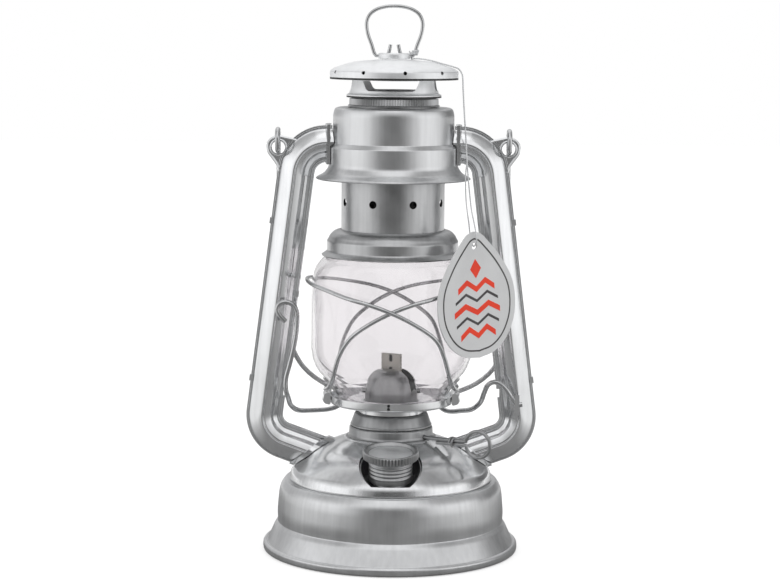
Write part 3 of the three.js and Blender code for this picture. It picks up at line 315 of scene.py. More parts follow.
def prism(name, outline, low, high, axis="Y"):
    """A flat outline, filled and extruded along an axis from low to high."""
    if axis == "Y":
        places, step = [(a, low, b) for a, b in outline], (0, high - low, 0)
    else:
        places, step = [(low, a, b) for a, b in outline], (high - low, 0, 0)
    obj = draw_line(name, places, closed=True)
    bpy.ops.mesh.edge_face_add()
    bpy.ops.mesh.extrude_region_move(TRANSFORM_OT_translate={"value": Vector(step) * MM})
    return close_up(obj)


def grown(outline, gap):
    """A closed outline with every side moved outwards by the gap."""
    points = [Vector(spot) for spot in outline]
    area = sum(a.x * b.y - b.x * a.y for a, b in zip(points, points[1:] + points[:1]))
    turn = 1 if area > 0 else -1
    line = []
    for before, here, after in zip(points[-1:] + points[:-1], points, points[1:] + points[:1]):
        sides = [(here - before).normalized(), (after - here).normalized()]
        normals = [Vector((side.y, -side.x)) * turn for side in sides]
        corner = (normals[0] + normals[1]).normalized()
        line.append(tuple(here + corner * gap / max(corner.dot(normals[0]), 0.5)))
    return line


def joined(obj, *others):
    """Make the others part of this piece."""
    pick_up(obj)
    for other in others:
        other.select_set(True)
    bpy.ops.object.join()
    return obj


def turn_about(obj, angle, axis, centre):
    """Turn a piece about a place on the lantern."""
    centre = Vector(centre) * MM
    place = Matrix.Translation(centre) @ Matrix.Rotation(angle, 4, axis) @ Matrix.Translation(-centre)
    obj.matrix_world = place @ obj.matrix_world
    pick_up(obj)
    settle()
    return obj


def finish_piece(obj, node, material, angle=32):
    """Show the piece in place of its node, on that node's body."""
    if angle:
        smooth(obj, angle)
    obj.data.materials.clear()
    obj.data.materials.append(material)
    obj.name = node + "_look"
    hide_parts(node)
    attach(obj, NODE_BODY[node])
    return obj


def dress(obj, material, chosen):
    """Give a second finish to the faces whose middle and normal are chosen, in millimetres."""
    obj.data.materials.append(material)
    for face in obj.data.polygons:
        if chosen(face.center / MM, face.normal):
            face.material_index = len(obj.data.materials) - 1


# Finishes

def shader(name):
    material = bpy.data.materials.new(name)
    material.use_nodes = True
    nodes, links = material.node_tree.nodes, material.node_tree.links
    return material, nodes, links, nodes["Principled BSDF"]


def combine(nodes, links, operation, *values):
    """One math node on these values, each a number or an output of another node."""
    node = nodes.new("ShaderNodeMath")
    node.operation = operation
    for socket, value in zip(node.inputs, values):
        if isinstance(value, (int, float)):
            socket.default_value = value
        else:
            links.new(value, socket)
    return node.outputs[0]


def graded(nodes, links, value, low, high, start=0.0, end=1.0):
    """A mask that goes from start to end as the value goes from low to high."""
    grade = nodes.new("ShaderNodeMapRange")
    for name, level in zip(("From Min", "From Max", "To Min", "To Max"), (low, high, start, end)):
        grade.inputs[name].default_value = level
    links.new(value, grade.inputs["Value"])
    return grade.outputs["Result"]


def ray_mask(nodes, links, *rays):
    """1 for a ray of any of these kinds, 0 for the others."""
    path = nodes.new("ShaderNodeLightPath")
    mask = path.outputs[rays[0]]
    for ray in rays[1:]:
        mask = combine(nodes, links, "MAXIMUM", mask, path.outputs[ray])
    return mask


def mixed(nodes, links, mask, first, second):
    """The first shader where the mask is 0, and the second where it is 1."""
    mix = nodes.new("ShaderNodeMixShader")
    links.new(mask, mix.inputs["Fac"])
    links.new(first.outputs[0], mix.inputs[1])
    links.new(second.outputs[0], mix.inputs[2])
    return mix


def rolled_sheet_group():
    """Rolled tin: broad clouds, fine streaks along its height, and the grain of its surface."""
    group = bpy.data.node_groups.new("rolled_sheet", "ShaderNodeTree")
    for name, start in (("Cloud Size", 60.0), ("Streak Size", 420.0), ("Grain Size", 1500.0)):
        size = group.interface.new_socket(name, in_out="INPUT", socket_type="NodeSocketFloat")
        size.default_value = start
    for socket in ("Tone", "Gloss", "Height"):
        group.interface.new_socket(socket, in_out="OUTPUT", socket_type="NodeSocketFloat")
    nodes, links = group.nodes, group.links
    given, out = nodes.new("NodeGroupInput"), nodes.new("NodeGroupOutput")
    place, drawn = nodes.new("ShaderNodeTexCoord"), nodes.new("ShaderNodeMapping")
    drawn.inputs["Scale"].default_value = (1, 1, 0.06)
    links.new(place.outputs["Object"], drawn.inputs["Vector"])
    noises = {}
    for name, spot, size, detail in (
        ("cloud", place.outputs["Object"], "Cloud Size", 5),
        ("streak", drawn.outputs["Vector"], "Streak Size", 3),
        ("grain", place.outputs["Object"], "Grain Size", 2),
    ):
        noise = nodes.new("ShaderNodeTexNoise")
        noise.inputs["Detail"].default_value = detail
        links.new(spot, noise.inputs["Vector"])
        links.new(given.outputs[size], noise.inputs["Scale"])
        noises[name] = noise.outputs["Fac"]
    half_cloud = combine(nodes, links, "MULTIPLY", noises["cloud"], 0.5)
    links.new(combine(nodes, links, "MULTIPLY_ADD", noises["streak"], 0.5, half_cloud), out.inputs["Tone"])
    links.new(noises["cloud"], out.inputs["Gloss"])
    half_grain = combine(nodes, links, "MULTIPLY", noises["grain"], 0.4)
    height = combine(nodes, links, "MULTIPLY_ADD", noises["streak"], 0.6, half_grain)
    links.new(height, out.inputs["Height"])
    return group


def fine_grain_group():
    """An even grain, with a slow drift of tone under it."""
    group = bpy.data.node_groups.new("fine_grain", "ShaderNodeTree")
    size = group.interface.new_socket("Size", in_out="INPUT", socket_type="NodeSocketFloat")
    size.default_value = 2000.0
    for socket in ("Tone", "Height"):
        group.interface.new_socket(socket, in_out="OUTPUT", socket_type="NodeSocketFloat")
    nodes, links = group.nodes, group.links
    given, out = nodes.new("NodeGroupInput"), nodes.new("NodeGroupOutput")
    place, drift, grain = (nodes.new(f"ShaderNode{kind}") for kind in ("TexCoord", "TexNoise", "TexNoise"))
    drift.inputs["Scale"].default_value = 90
    for noise in (drift, grain):
        links.new(place.outputs["Object"], noise.inputs["Vector"])
    links.new(given.outputs["Size"], grain.inputs["Scale"])
    half_drift = combine(nodes, links, "MULTIPLY", drift.outputs["Fac"], 0.5)
    tone = combine(nodes, links, "MULTIPLY_ADD", grain.outputs["Fac"], 0.5, half_drift)
    links.new(tone, out.inputs["Tone"])
    links.new(grain.outputs["Fac"], out.inputs["Height"])
    return group


ROLLED_SHEET = rolled_sheet_group()
FINE_GRAIN = fine_grain_group()


def two_tones(nodes, links, mask, dark, light, low=0.36, high=0.64):
    """A colour between two, as the mask goes from low to high."""
    ramp = nodes.new("ShaderNodeValToRGB")
    for stop, place, colour in zip(ramp.color_ramp.elements, (low, high), (dark, light)):
        stop.position = place
        stop.color = (*colour, 1)
    links.new(mask, ramp.inputs["Fac"])
    return ramp.outputs["Color"]


def relief(nodes, links, height, surface, strength, depth=0.5):
    """Bump the surface by a height, its depth in millimetres."""
    bump = nodes.new("ShaderNodeBump")
    bump.inputs["Strength"].default_value = strength
    bump.inputs["Distance"].default_value = depth * MM
    links.new(height, bump.inputs["Height"])
    links.new(bump.outputs["Normal"], surface.inputs["Normal"])


# Tin is a little cooler than grey
TIN_TINT = (1, 1.01, 1.018)


def tin(name, dark, light, roughness, bump, cloud=60.0):
    """A metal whose tone and gloss drift a little over the sheet."""
    material, nodes, links, surface = shader(name)
    surface.inputs["Metallic"].default_value = 1
    sheet = nodes.new("ShaderNodeGroup")
    sheet.node_tree = ROLLED_SHEET
    sheet.inputs["Cloud Size"].default_value = cloud
    shades = [tuple(tone * part for part in TIN_TINT) for tone in (dark, light)]
    links.new(two_tones(nodes, links, sheet.outputs["Tone"], *shades), surface.inputs["Base Color"])
    gloss = graded(nodes, links, sheet.outputs["Gloss"], 0.3, 0.7, *roughness)
    links.new(gloss, surface.inputs["Roughness"])
    relief(nodes, links, sheet.outputs["Height"], surface, bump)
    return material


def grained(name, dark, light, roughness, size, bump, metallic=0.0):
    """A material with an even grain and two close tones."""
    material, nodes, links, surface = shader(name)
    surface.inputs["Roughness"].default_value = roughness
    surface.inputs["Metallic"].default_value = metallic
    grain = nodes.new("ShaderNodeGroup")
    grain.node_tree = FINE_GRAIN
    grain.inputs["Size"].default_value = size
    links.new(two_tones(nodes, links, grain.outputs["Tone"], dark, light), surface.inputs["Base Color"])
    relief(nodes, links, grain.outputs["Height"], surface, bump, 0.1)
    return material


STITCH_WIDTH, STITCH_HEIGHT = 1.5, 1.8
TRACER_HALF_WIDTH, TRACER_PITCH = 0.85, 6.6


def wick_cotton():
    """Flat knitted wick, with a dashed dark tracer thread down the middle of its faces."""
    material, nodes, links, surface = shader("cotton")
    surface.inputs["Roughness"].default_value = 0.95
    place, along = nodes.new("ShaderNodeTexCoord"), nodes.new("ShaderNodeMapping")
    along.inputs["Rotation"].default_value = (0, 0, WICK_TURN)
    links.new(place.outputs["Object"], along.inputs["Vector"])
    parts = nodes.new("ShaderNodeSeparateXYZ")
    links.new(along.outputs["Vector"], parts.inputs[0])

    def wave(axis, pitch):
        turns = combine(nodes, links, "MULTIPLY", parts.outputs[axis], math.tau / (pitch * MM))
        return combine(nodes, links, "SINE", turns)

    loops = combine(nodes, links, "MULTIPLY", wave("X", STITCH_WIDTH), wave("Z", STITCH_HEIGHT))
    knit = combine(nodes, links, "MULTIPLY_ADD", loops, 0.5, 0.5)
    stitches = two_tones(nodes, links, knit, (0.30, 0.27, 0.22), (0.93, 0.90, 0.84), 0.2, 0.6)
    off_middle = combine(nodes, links, "ABSOLUTE", parts.outputs["X"])
    middle = combine(nodes, links, "LESS_THAN", off_middle, TRACER_HALF_WIDTH * MM)
    dash = combine(nodes, links, "GREATER_THAN", wave("Z", TRACER_PITCH), -0.2)
    tracer = nodes.new("ShaderNodeMixRGB")
    tracer.inputs["Color2"].default_value = (0.02, 0.02, 0.022, 1)
    links.new(combine(nodes, links, "MULTIPLY", middle, dash), tracer.inputs["Fac"])
    links.new(stitches, tracer.inputs["Color1"])
    links.new(tracer.outputs["Color"], surface.inputs["Base Color"])
    relief(nodes, links, knit, surface, 0.7, 0.4)
    return material


def blown_glass():
    """Clear glass with the faint waves that blowing leaves."""
    material, nodes, links, surface = shader("clear_glass")
    surface.inputs["Base Color"].default_value = (0.86, 0.845, 0.855, 1)
    surface.inputs["Roughness"].default_value = 0.0
    surface.inputs["IOR"].default_value = 1.48
    surface.inputs["Transmission Weight"].default_value = 1
    place, waves = nodes.new("ShaderNodeTexCoord"), nodes.new("ShaderNodeTexNoise")
    waves.inputs["Scale"].default_value = 26
    links.new(place.outputs["Object"], waves.inputs["Vector"])
    relief(nodes, links, waves.outputs["Fac"], surface, 0.06, 1)
    return material


SATIN_TIN = tin("satin_tin", dark=0.63, light=0.73, roughness=(0.28, 0.38), bump=0.045)
POLISHED_TIN = tin("polished_tin", dark=0.72, light=0.82, roughness=(0.14, 0.24), bump=0.1, cloud=90.0)
BURNER_TIN_AND_SHADE = tin("burner_tin_and_shade", dark=0.34, light=0.46, roughness=(0.3, 0.42), bump=0.12, cloud=140.0)
CHIMNEY_TIN = tin("chimney_tin", dark=0.46, light=0.55, roughness=(0.28, 0.38), bump=0.08, cloud=140.0)
BRIGHT_TIN = tin("bright_tin", dark=0.78, light=0.87, roughness=(0.12, 0.2), bump=0.04)
PALE_TIN = tin("pale_tin", dark=0.88, light=0.95, roughness=(0.44, 0.56), bump=0.06, cloud=120.0)
FLAME_TIN = tin("flame_tin", dark=0.42, light=0.54, roughness=(0.34, 0.46), bump=0.1, cloud=140.0)
# A near-black tin that paints shade into hollows, insides and lower edges
PAINTED_SHADE_TIN = tin("painted_shade_tin", dark=0.05, light=0.09, roughness=(0.45, 0.6), bump=0.1, cloud=140.0)
STEEL_WIRE = tin("steel_wire", dark=0.54, light=0.68, roughness=(0.18, 0.3), bump=0.05, cloud=160.0)
CLEAR_GLASS = blown_glass()
COTTON = wick_cotton()
RUBBER = grained(
    "rubber", (0.022, 0.022, 0.022), (0.04, 0.04, 0.04), roughness=0.7, size=1800.0, bump=0.2)
CARD = grained(
    "card", (0.60, 0.605, 0.61), (0.66, 0.665, 0.67), roughness=0.55, size=2600.0, bump=0.12)
RED_INK = grained(
    "red_ink", (0.74, 0.035, 0.008), (0.86, 0.05, 0.012), roughness=0.5, size=2600.0, bump=0.12)
DARK_INK = grained(
    "dark_ink", (0.038, 0.034, 0.036), (0.06, 0.055, 0.057), roughness=0.5, size=2600.0, bump=0.12)
SILVER_STRING = grained(
    "silver_string", (0.52, 0.53, 0.54), (0.84, 0.85, 0.86), roughness=0.38, size=3000.0, bump=0.3,
    metallic=0.4)


def tin_piece(obj, node, angle=32):
    return finish_piece(obj, node, SATIN_TIN, angle)


def bright_piece(obj, node, angle=32):
    return finish_piece(obj, node, BRIGHT_TIN, angle)


def burner_piece(obj, node, angle=32):
    return finish_piece(obj, node, BURNER_TIN_AND_SHADE, angle)


def wire_piece(obj, node, angle=50):
    return finish_piece(obj, node, STEEL_WIRE, angle)


def bright_pair(obj, right_node, left_node):
    """A bright piece on the right, and its mirror image on the left."""
    left = mirrored(obj, obj.name + "_left", x=-1)
    bright_piece(obj, right_node)
    bright_piece(left, left_node)


# Tank

# A rolled foot, a flare, and a wall that bows in a little towards its shoulder
tank = turned("tank_wall", [
    (62.6, 0.75), (64.4, 0.02, 1.6), (66.55, 0.5, 1.8), (66.55, 3.9, 2.0), (65.2, 4.95, 0.6),
    (64.4, 4.3, 0.3), (63.95, 5.3, 0.3), (60.4, 13.2, 4), (59.25, 14.6, 0.5), (58.85, 15.2, 0.3),
    (59.15, 20.5, 10), (58.35, 30.0, 8), (57.5, 34.0, 4), (55.2, 37.1, 2.5), (53.6, 37.35, 0.4),
    (50.0, 37.35),
], SHEET)
tin_piece(tank, "tank_body", 28)

tin_piece(turned("tank_floor_disc", [
    (0, 16.3), (56.2, 16.3, 1.5), (57.95, 19.2), (57.2, 19.2), (55.6, 15.6, 1.5), (0, 15.6),
]), "tank_floor")

DOME_OUTLINE = [
    (52.8, 37.5), (52.8, 38.2, 0.3), (52.1, 41.3, 1.3), (51.0, 43.3, 1.2), (44.6, 49.4, 6),
    (38.65, 53.5, 6), (30.0, 57.2, 6), (25.2, 58.75, 1.2), (24.3, 58.95, 0.4), (23.9, 59.5, 0.4),
    (21.0, 59.55, 1), (19.1, 59.5),
]
dome = turned("dome_shell", DOME_OUTLINE, SHEET)

# The filler stands off the front of the dome, and leans forwards
FILLER_TOP = Vector((0, -40.2, 59.6))
FILLER_TILT = 8.5 * DEGREE
FILLER_PLACE = Matrix.Translation(FILLER_TOP * MM) @ Matrix.Rotation(FILLER_TILT, 4, "X")
PAN_RADIUS, PAN_FLOOR, PAN_WALL = 15.6, -17.4, 0.6
# The dome is open round the pan, but not past the foot of its band
MOUTH_GAP, MOUTH_LIMIT = 0.4, 51.4


def to_filler(obj):
    """Move a piece that was made upright on the lantern's axis to the filler's place and lean."""
    obj.matrix_world = FILLER_PLACE @ obj.matrix_world
    pick_up(obj)
    settle()
    return obj


mouth_limit = bar("mouth_limit", (0, 0, 30), (0, 0, 80), MOUTH_LIMIT, ROUND_STEPS)
pan_mouth = to_filler(bar("pan_mouth", (0, 0, -18), (0, 0, 6), PAN_RADIUS + MOUTH_GAP, ROUND_STEPS))
carve(pan_mouth, mouth_limit, operation="INTERSECT")
carve(dome, pan_mouth)
finish_piece(dome, "tank_dome", POLISHED_TIN, 28)

PLATE_SECTION = [(8.4, 38.2), (51.5, 38.2), (51.5, 38.9), (8.4, 38.9)]
tin_piece(turned("plate_ring", PLATE_SECTION, closed=True), "tank_plate")

# The pan under the filler cap is cut to the inside of the dome
dome_inside = turned("dome_inside", [
    (0, 30), (50.4, 30), (50.4, 41.0, 0.6), (49.8, 43.0), (44.0, 48.5, 6), (38.2, 52.5, 6),
    (30.0, 56.2, 6), (23.0, 58.3), (0, 58.6),
])
pan = to_filler(turned("pan_shell", [
    (9.9, PAN_FLOOR), (PAN_RADIUS - 0.3, PAN_FLOOR, 1), (PAN_RADIUS, PAN_FLOOR + 1.4, 1), (PAN_RADIUS, 0),
], PAN_WALL))
carve(pan, dome_inside, operation="INTERSECT")
# The pan takes the dark burner tin as painted shade, for the shade that falls in the dome's hollow round
# the cap
burner_piece(pan, "filler_pan")

tin_piece(to_filler(turned("neck_shell", [
    (8.8, -18.6), (11.2, -18.6), (11.2, -17.2), (9.6, -17.0, 0.6), (9.6, -4.6), (8.8, -4.6),
], closed=True, steps=64)), "filler_neck")
finish_piece(to_filler(turned("seal_ring", [
    (8.0, -4.2), (9.7, -4.2), (9.7, -2.9), (8.0, -2.9),
], closed=True, steps=48)), "filler_seal", RUBBER)

# Filler cap: a dished face, a scalloped rim and a ribbed skirt
SCALLOPS = 52
SCALLOP_FACTORS = (1, 0.98, 0.935, 0.98)
DISH_RADIUS = 11.6
RIB_RADIUS, RIB_DEPTH, RIB_PITCH = 11.35, 0.85, 0.95
skirt_ribs = [(RIB_RADIUS - RIB_DEPTH * (i % 2), -5.0 - RIB_PITCH * i, 0.45) for i in range(1, 9)]
filler_cap = turned("cap_shell", [
    (0, -0.9), (6.0, -1.15, 4), (11.3, -1.95, 0.8), (12.5, -0.05, 0.7), (13.7, -0.05, 0.6),
    (14.2, -0.7, 0.3), (14.25, -3.7, 0.4), (13.3, -4.25, 0.3), (11.0, -4.4, 0.3), *skirt_ribs,
    (11.2, -13.4, 0.4), (11.25, -15.5), (10.1, -15.55), (9.98, -3.0), (0, -2.5),
], steps=SCALLOPS * len(SCALLOP_FACTORS))
pinch(filler_cap, SCALLOPS, SCALLOP_FACTORS, lambda radius, z: radius > 13.6 and -4.0 < z < -0.4)
finish_piece(to_filler(filler_cap), "filler_cap", FLAME_TIN, 40)
# Painted highlight: the faces of the dished face that look up along the cap's axis take the paler tin,
# lighter than the rest of the cap
cap_axis = FILLER_PLACE.to_3x3() @ Vector((0, 0, 1))
dress(filler_cap, PALE_TIN, lambda middle, normal: (
    normal.dot(cap_axis) > 0.9 and (middle - FILLER_TOP).length < DISH_RADIUS))

# Burner

collar = turned("collar_shell", [
    (23.4, 59.85), (22.5, 59.95, 0.4), (21.9, 61.0, 0.6), (21.75, 64.5, 0.3), (21.2, 65.15),
], SHEET)

# The shaft runs beside the wick, in front of it, and ends in a finger ring
SHAFT_OFFSET, SHAFT_HEIGHT, SHAFT_RADIUS, SHAFT_GAP = 4.1, 61.2, 0.95, 0.5


def by_shaft(along, height=SHAFT_HEIGHT, depth=0):
    """A place on the shaft: along the wick's width to the right, its height, and further forwards."""
    c, s = math.cos(WICK_TURN), math.sin(WICK_TURN)
    offset = SHAFT_OFFSET + depth
    return (along * c - offset * s, -along * s - offset * c, height)


carve(collar, bar("shaft_hole", by_shaft(15), by_shaft(30), SHAFT_RADIUS + SHAFT_GAP))
burner_piece(collar, "burner_collar")

burner_piece(turned("cone_shell", [
    (21.2, 65.55), (21.25, 66.3, 0.4), (20.9, 66.7, 0.5), (19.2, 71.4, 0.4), (18.7, 72.1, 0.5),
    (13.0, 72.1),
], SHEET), "burner_cone")


def round_wick(name, half_width, half_thickness, low, high):
    """A block that lies square to the wick."""
    obj = block(name, (-half_width, -half_thickness, low), (half_width, half_thickness, high))
    return turn_about(obj, -WICK_TURN, "Z", (0, 0, 0))


AIR_HOLES, AIR_HOLE_CIRCLE, AIR_HOLE_RADIUS = 6, 14, 1.6
air_plate = turned("air_plate", [(0, 66.8), (19.6, 66.8), (19.6, 67.5), (0, 67.5)])
carve(air_plate, round_wick("wick_gap", 7.4, 2.4, 60, 70))
for i in range(AIR_HOLES):
    angle = (i + 0.5) * math.tau / AIR_HOLES
    x, y = AIR_HOLE_CIRCLE * math.cos(angle), AIR_HOLE_CIRCLE * math.sin(angle)
    carve(air_plate, bar("air_hole", (x, y, 60), (x, y, 70), AIR_HOLE_RADIUS))
burner_piece(air_plate, "burner_plate")

wick_sleeve = round_wick("wick_sleeve", 7.05, 2.05, 39.3, 90.5)
sleeve_bore = round_wick("sleeve_bore", 6.45, 1.45, 30, 100)
spur_window = round_wick("spur_window", 5.2, 3.05, 58.1, 64.3)
carve(wick_sleeve, sleeve_bore, spur_window)
# Painted shade: the sleeve, deep inside the burner, takes the near-black tin
finish_piece(wick_sleeve, "wick_tube", PAINTED_SHADE_TIN)

wick_strip = round_wick("wick_strip", 5.6, 1, 25, 103)
pick_up(wick_strip, "EDIT")
bpy.ops.mesh.select_all(action="SELECT")
bpy.ops.mesh.bevel(offset=0.45 * MM, segments=3)
bpy.ops.object.mode_set(mode="OBJECT")
finish_piece(wick_strip, "wick", COTTON)

FINGER_RING_RADIUS, FINGER_RING_MIDDLE = 6.8, (52, 60.25)
CURL_RADIUS, CURL_MIDDLE, CURL_START, CURL_PITCH, CURL_WIRE = 2.3, (0, 60.2), 36.5, 1.6, 0.6
ring_start = math.asin(SHAFT_RADIUS / FINGER_RING_RADIUS) / DEGREE
finger_ring = arc(FINGER_RING_MIDDLE, FINGER_RING_RADIUS, 180 - ring_start, ring_start - 180, 32)
shaft_places = [
    by_shaft(-10), by_shaft(43), *[by_shaft(along, height) for along, height in finger_ring],
    by_shaft(42, 59.35), by_shaft(28.5, 59.15),
]
# A turn and a half of thin wire ties the ring's free end to the shaft
curl_places = [
    by_shaft(CURL_START + turn / 360 * CURL_PITCH, height, depth)
    for turn, (depth, height) in zip(range(0, 541, 30), arc(CURL_MIDDLE, CURL_RADIUS, 0, 540, 18))
]
shaft = joined(
    bent_wire("shaft_wire", shaft_places, SHAFT_RADIUS), bent_wire("shaft_curl", curl_places, CURL_WIRE))
finish_piece(shaft, "wick_shaft", BURNER_TIN_AND_SHADE, 50)

# The slotted cap that spreads the flame, with a rivet on each side
flame_cap = turned("flame_cap", [
    (13.6, 72.45), (13.6, 84.4, 0.8), (13.1, 86.3, 1.5), (11.4, 91.0, 3), (7.5, 94.4, 4), (0, 95.4),
], SHEET)
for angle in (math.pi, 0):
    carve(flame_cap, spoke("rivet", angle, 12.9, 15.2, 84.3, 1.3), operation="UNION")
carve(flame_cap, round_wick("flame_slot", 13.2, 2.9, 84.6, 101))
finish_piece(flame_cap, "burner_dome", FLAME_TIN, 30)
# Painted shade: the faces inside the cap, turned towards its middle, take the near-black tin
flame_middle = Vector((0, 0, 78))
dress(flame_cap, PAINTED_SHADE_TIN, lambda middle, normal: normal.dot(middle - flame_middle) < 0)

# Carriage

RIM_RADIUS = 32.1
carriage_plate = turned("carriage_plate", [
    (17.0, 72.45), (17.0, 78.6, 0.5), (17.6, 79.5, 0.5), (19.4, 79.5, 0.3), (19.9, 80.2, 0.3),
    (20.9, 80.2, 0.3), (21.4, 79.4, 0.3), (22.7, 79.3, 0.6), (24.3, 77.0, 0.6), (26.9, 76.9, 0.3),
    (27.3, 77.6, 0.3), (28.3, 77.6, 0.3), (28.7, 76.9, 0.3), (30.8, 76.9, 1.0), (RIM_RADIUS, 77.6, 0.7),
    (RIM_RADIUS, 81.4),
], SHEET)
PIT_X, PIT_RADIUS, PIT_HEIGHTS = -1.3, 0.78, (78.95, 80.6)
for height in PIT_HEIGHTS:
    pit = bar("rim_pit", (PIT_X, -36, height), (PIT_X, -31.6, height), PIT_RADIUS, 16)
    carve(carriage_plate, pit)
bright_piece(carriage_plate, "globe_plate")


def in_rim_pits(middle, normal):
    """Whether a face lies within the rim, inside the two pits at its front."""
    radius = math.hypot(middle.x, middle.y)
    within = RIM_RADIUS - 0.6 < radius < RIM_RADIUS - 0.05
    return within and middle.y < 0 and abs(middle.x - PIT_X) < 0.8 and 78 < middle.z < 81.4


# Painted shade: the faces inside the two pits take the near-black tin
dress(carriage_plate, PAINTED_SHADE_TIN, in_rim_pits)

GLOBE_RADIUS, GLASS = 42.1, 1.8
globe_outline = [
    (27.6, 79.0), (27.7, 80.4), (28.4, 82.2), (30.8, 85.8), (34.85, 90.5), (37.8, 93.8), (39.65, 96.8),
    (41.2, 101.0), (42.0, 106.0), (GLOBE_RADIUS, 112.0), (GLOBE_RADIUS, 125.0), (42.0, 134.0),
    (41.85, 138.55), (41.5, 142.5), (40.7, 145.9), (39.2, 149.2), (36.4, 152.6), (33.6, 154.6),
    (32.4, 156.2), (32.3, 158.0), (32.3, 160.0),
]
finish_piece(turned("glass_globe", globe_outline, GLASS), "globe", CLEAR_GLASS, 60)

# The clips and the lugs are short lengths of turned bands
CLIP_HALF_WIDTH, LUG_HALF_WIDTH = 4.5, 8


def length_of(band, half_width):
    """Keep the stretch of a band that is at the right of the lantern."""
    window = block("window", (0, -half_width, 70), (60, half_width, 100))
    return carve(band, window, operation="INTERSECT")


clip_band = turned("clip_band", [(28.1, 81.6), (28.8, 82.6), (31.2, 86.0), (35.2, 90.4)], SHEET)
bright_pair(length_of(clip_band, CLIP_HALF_WIDTH), "globe_clip_right", "globe_clip_left")
lug_band = turned("lug_band", [
    (32.45, 77.6), (33.0, 76.9, 0.4), (35.5, 77.5, 1.2), (36.3, 79.3, 1.2), (35.7, 82.7, 1.2),
    (33.2, 83.35, 0.6), (32.45, 82.6),
], closed=True)
bright_pair(length_of(lug_band, LUG_HALF_WIDTH), "guard_lug_right", "guard_lug_left")

# Half of a guard wire, from its lug to the middle of its far side. Rows: azimuth in degrees, share of
# the guard's radius, share of its rise
GUARD_RADIUS, GUARD_FOOT, GUARD_RISE, GUARD_WIRE = 44.3, 84.8, 57.0, 1.05
# The right wire passes outside the left one where they cross
CROSSING_GAP = 2.45
GUARD_ROWS = [
    (9, 0.785, 0), (14, 0.785, 0.01), (30, 0.83, 0.06), (42, 0.91, 0.15), (52, 0.98, 0.37),
    (62, 1, 0.55), (76, 1, 0.69), (90, 1, 0.79), (104, 1, 0.86), (118, 1, 0.905), (138, 1, 0.953),
    (160, 1, 0.985), (180, 1, 1),
]


def guard_side(turn, outside):
    side = []
    for azimuth, out, up in GUARD_ROWS:
        radius = GUARD_RADIUS * out + (outside if 60 < azimuth < 120 else 0)
        x, y = radius * math.cos(azimuth * DEGREE), turn * radius * math.sin(azimuth * DEGREE)
        side.append((x, y, GUARD_FOOT + GUARD_RISE * up))
    return side


def guard_wire(name, outside=0):
    places = flowing(guard_side(-1, outside) + guard_side(1, outside)[-2::-1], 2.5)
    return bent_wire(name, places, GUARD_WIRE)


wire_piece(guard_wire("guard_right", CROSSING_GAP), "guard_wire_right")
inner_wire = guard_wire("guard_inner")
wire_piece(mirrored(inner_wire, "guard_left", x=-1), "guard_wire_left")
throw_away(inner_wire)

# Chimney

finish_piece(turned("crown_shell", [
    (36.8, 154.95), (36.2, 155.3, 0.3), (34.4, 156.6, 0.6), (34.0, 157.3, 0.5), (34.0, 162.2, 0.6),
    (33.2, 163.4, 0.6), (32.6, 164.8, 1), (30.4, 167.2, 1.5), (27.05, 168.0),
], SHEET), "crown", CHIMNEY_TIN)

# The tube is painted near-black inside, painted shade that shows in its draught holes
DRAUGHT_HOLES, DRAUGHT_HEIGHT, DRAUGHT_RADIUS = 8, 182.4, 2.0
chimney_tube = turned("chimney_shell", [
    (28.8, 166.2), (26.9, 166.7, 0.4), (26.7, 167.6, 0.4), (26.7, 196.6, 0.6), (25.9, 197.4, 0.4),
    (20.4, 197.4),
], SHEET)
for i in range(DRAUGHT_HOLES):
    angle = (i + 0.5) * math.tau / DRAUGHT_HOLES
    carve(chimney_tube, spoke("draught_hole", angle, 20, 34, DRAUGHT_HEIGHT, DRAUGHT_RADIUS))
finish_piece(chimney_tube, "chimney_tube", CHIMNEY_TIN)
dress(chimney_tube, PAINTED_SHADE_TIN, lambda middle, normal: normal.xy.dot(middle.xy) < 0)

burner_piece(turned("pipe_shell", [(21.8, 197.75), (21.8, 235.3)], SHEET), "chimney_pipe")

# The spring has a flat turn at each end, and a lifted chimney presses it to a share of its length
SPRING_RADIUS, SPRING_FOOT, SPRING_RISE, SPRING_WIRE = 22.9, 198.4, 30.9, 0.6
SPRING_TURNS, TURN_STEPS = 4, 24
spring_places = []
for i in range(SPRING_TURNS * TURN_STEPS + 1):
    angle = i * math.tau / TURN_STEPS
    share = min(max((i - TURN_STEPS) / ((SPRING_TURNS - 2) * TURN_STEPS), 0), 1)
    x, y = SPRING_RADIUS * math.cos(angle), SPRING_RADIUS * math.sin(angle)
    spring_places.append((x, y, SPRING_FOOT + SPRING_RISE * share))
chimney_spring = bent_wire("spring_wire", spring_places, SPRING_WIRE, 4)
wire_piece(chimney_spring, "chimney_spring")
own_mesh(chimney_spring)

# The window ring and the lid take painted shade along their lower edges, where no light reaches them, and
# the lid on its inside as well
RING_SHADE, LID_SHADE = 236.8, 246.2
WINDOW_SILL, WINDOW_HEAD, WINDOW_TURN = 239.5, 244.7, -5 * DEGREE
window_ring = turned("ring_shell", [
    (24.4, 235.95), (24.4, RING_SHADE), (24.4, 237.4, 0.3), (23.1, 237.9, 0.4), (22.8, 238.6, 0.4),
    (22.0, 245.35),
], SHEET)


def window_tool(name, width, sill_width, axis):
    """A bar as wide as a window, for a window at both ends of it."""
    half, sill = width / 2, sill_width / 2
    right = eased([(0, WINDOW_SILL), (sill, WINDOW_SILL, 1.6), (half, WINDOW_HEAD, 0.5), (0, WINDOW_HEAD)])
    outline = right + [(-x, z) for x, z in right[-2:0:-1]]
    return turn_about(prism(name, outline, -40, 40, axis), WINDOW_TURN, "Z", (0, 0, 0))


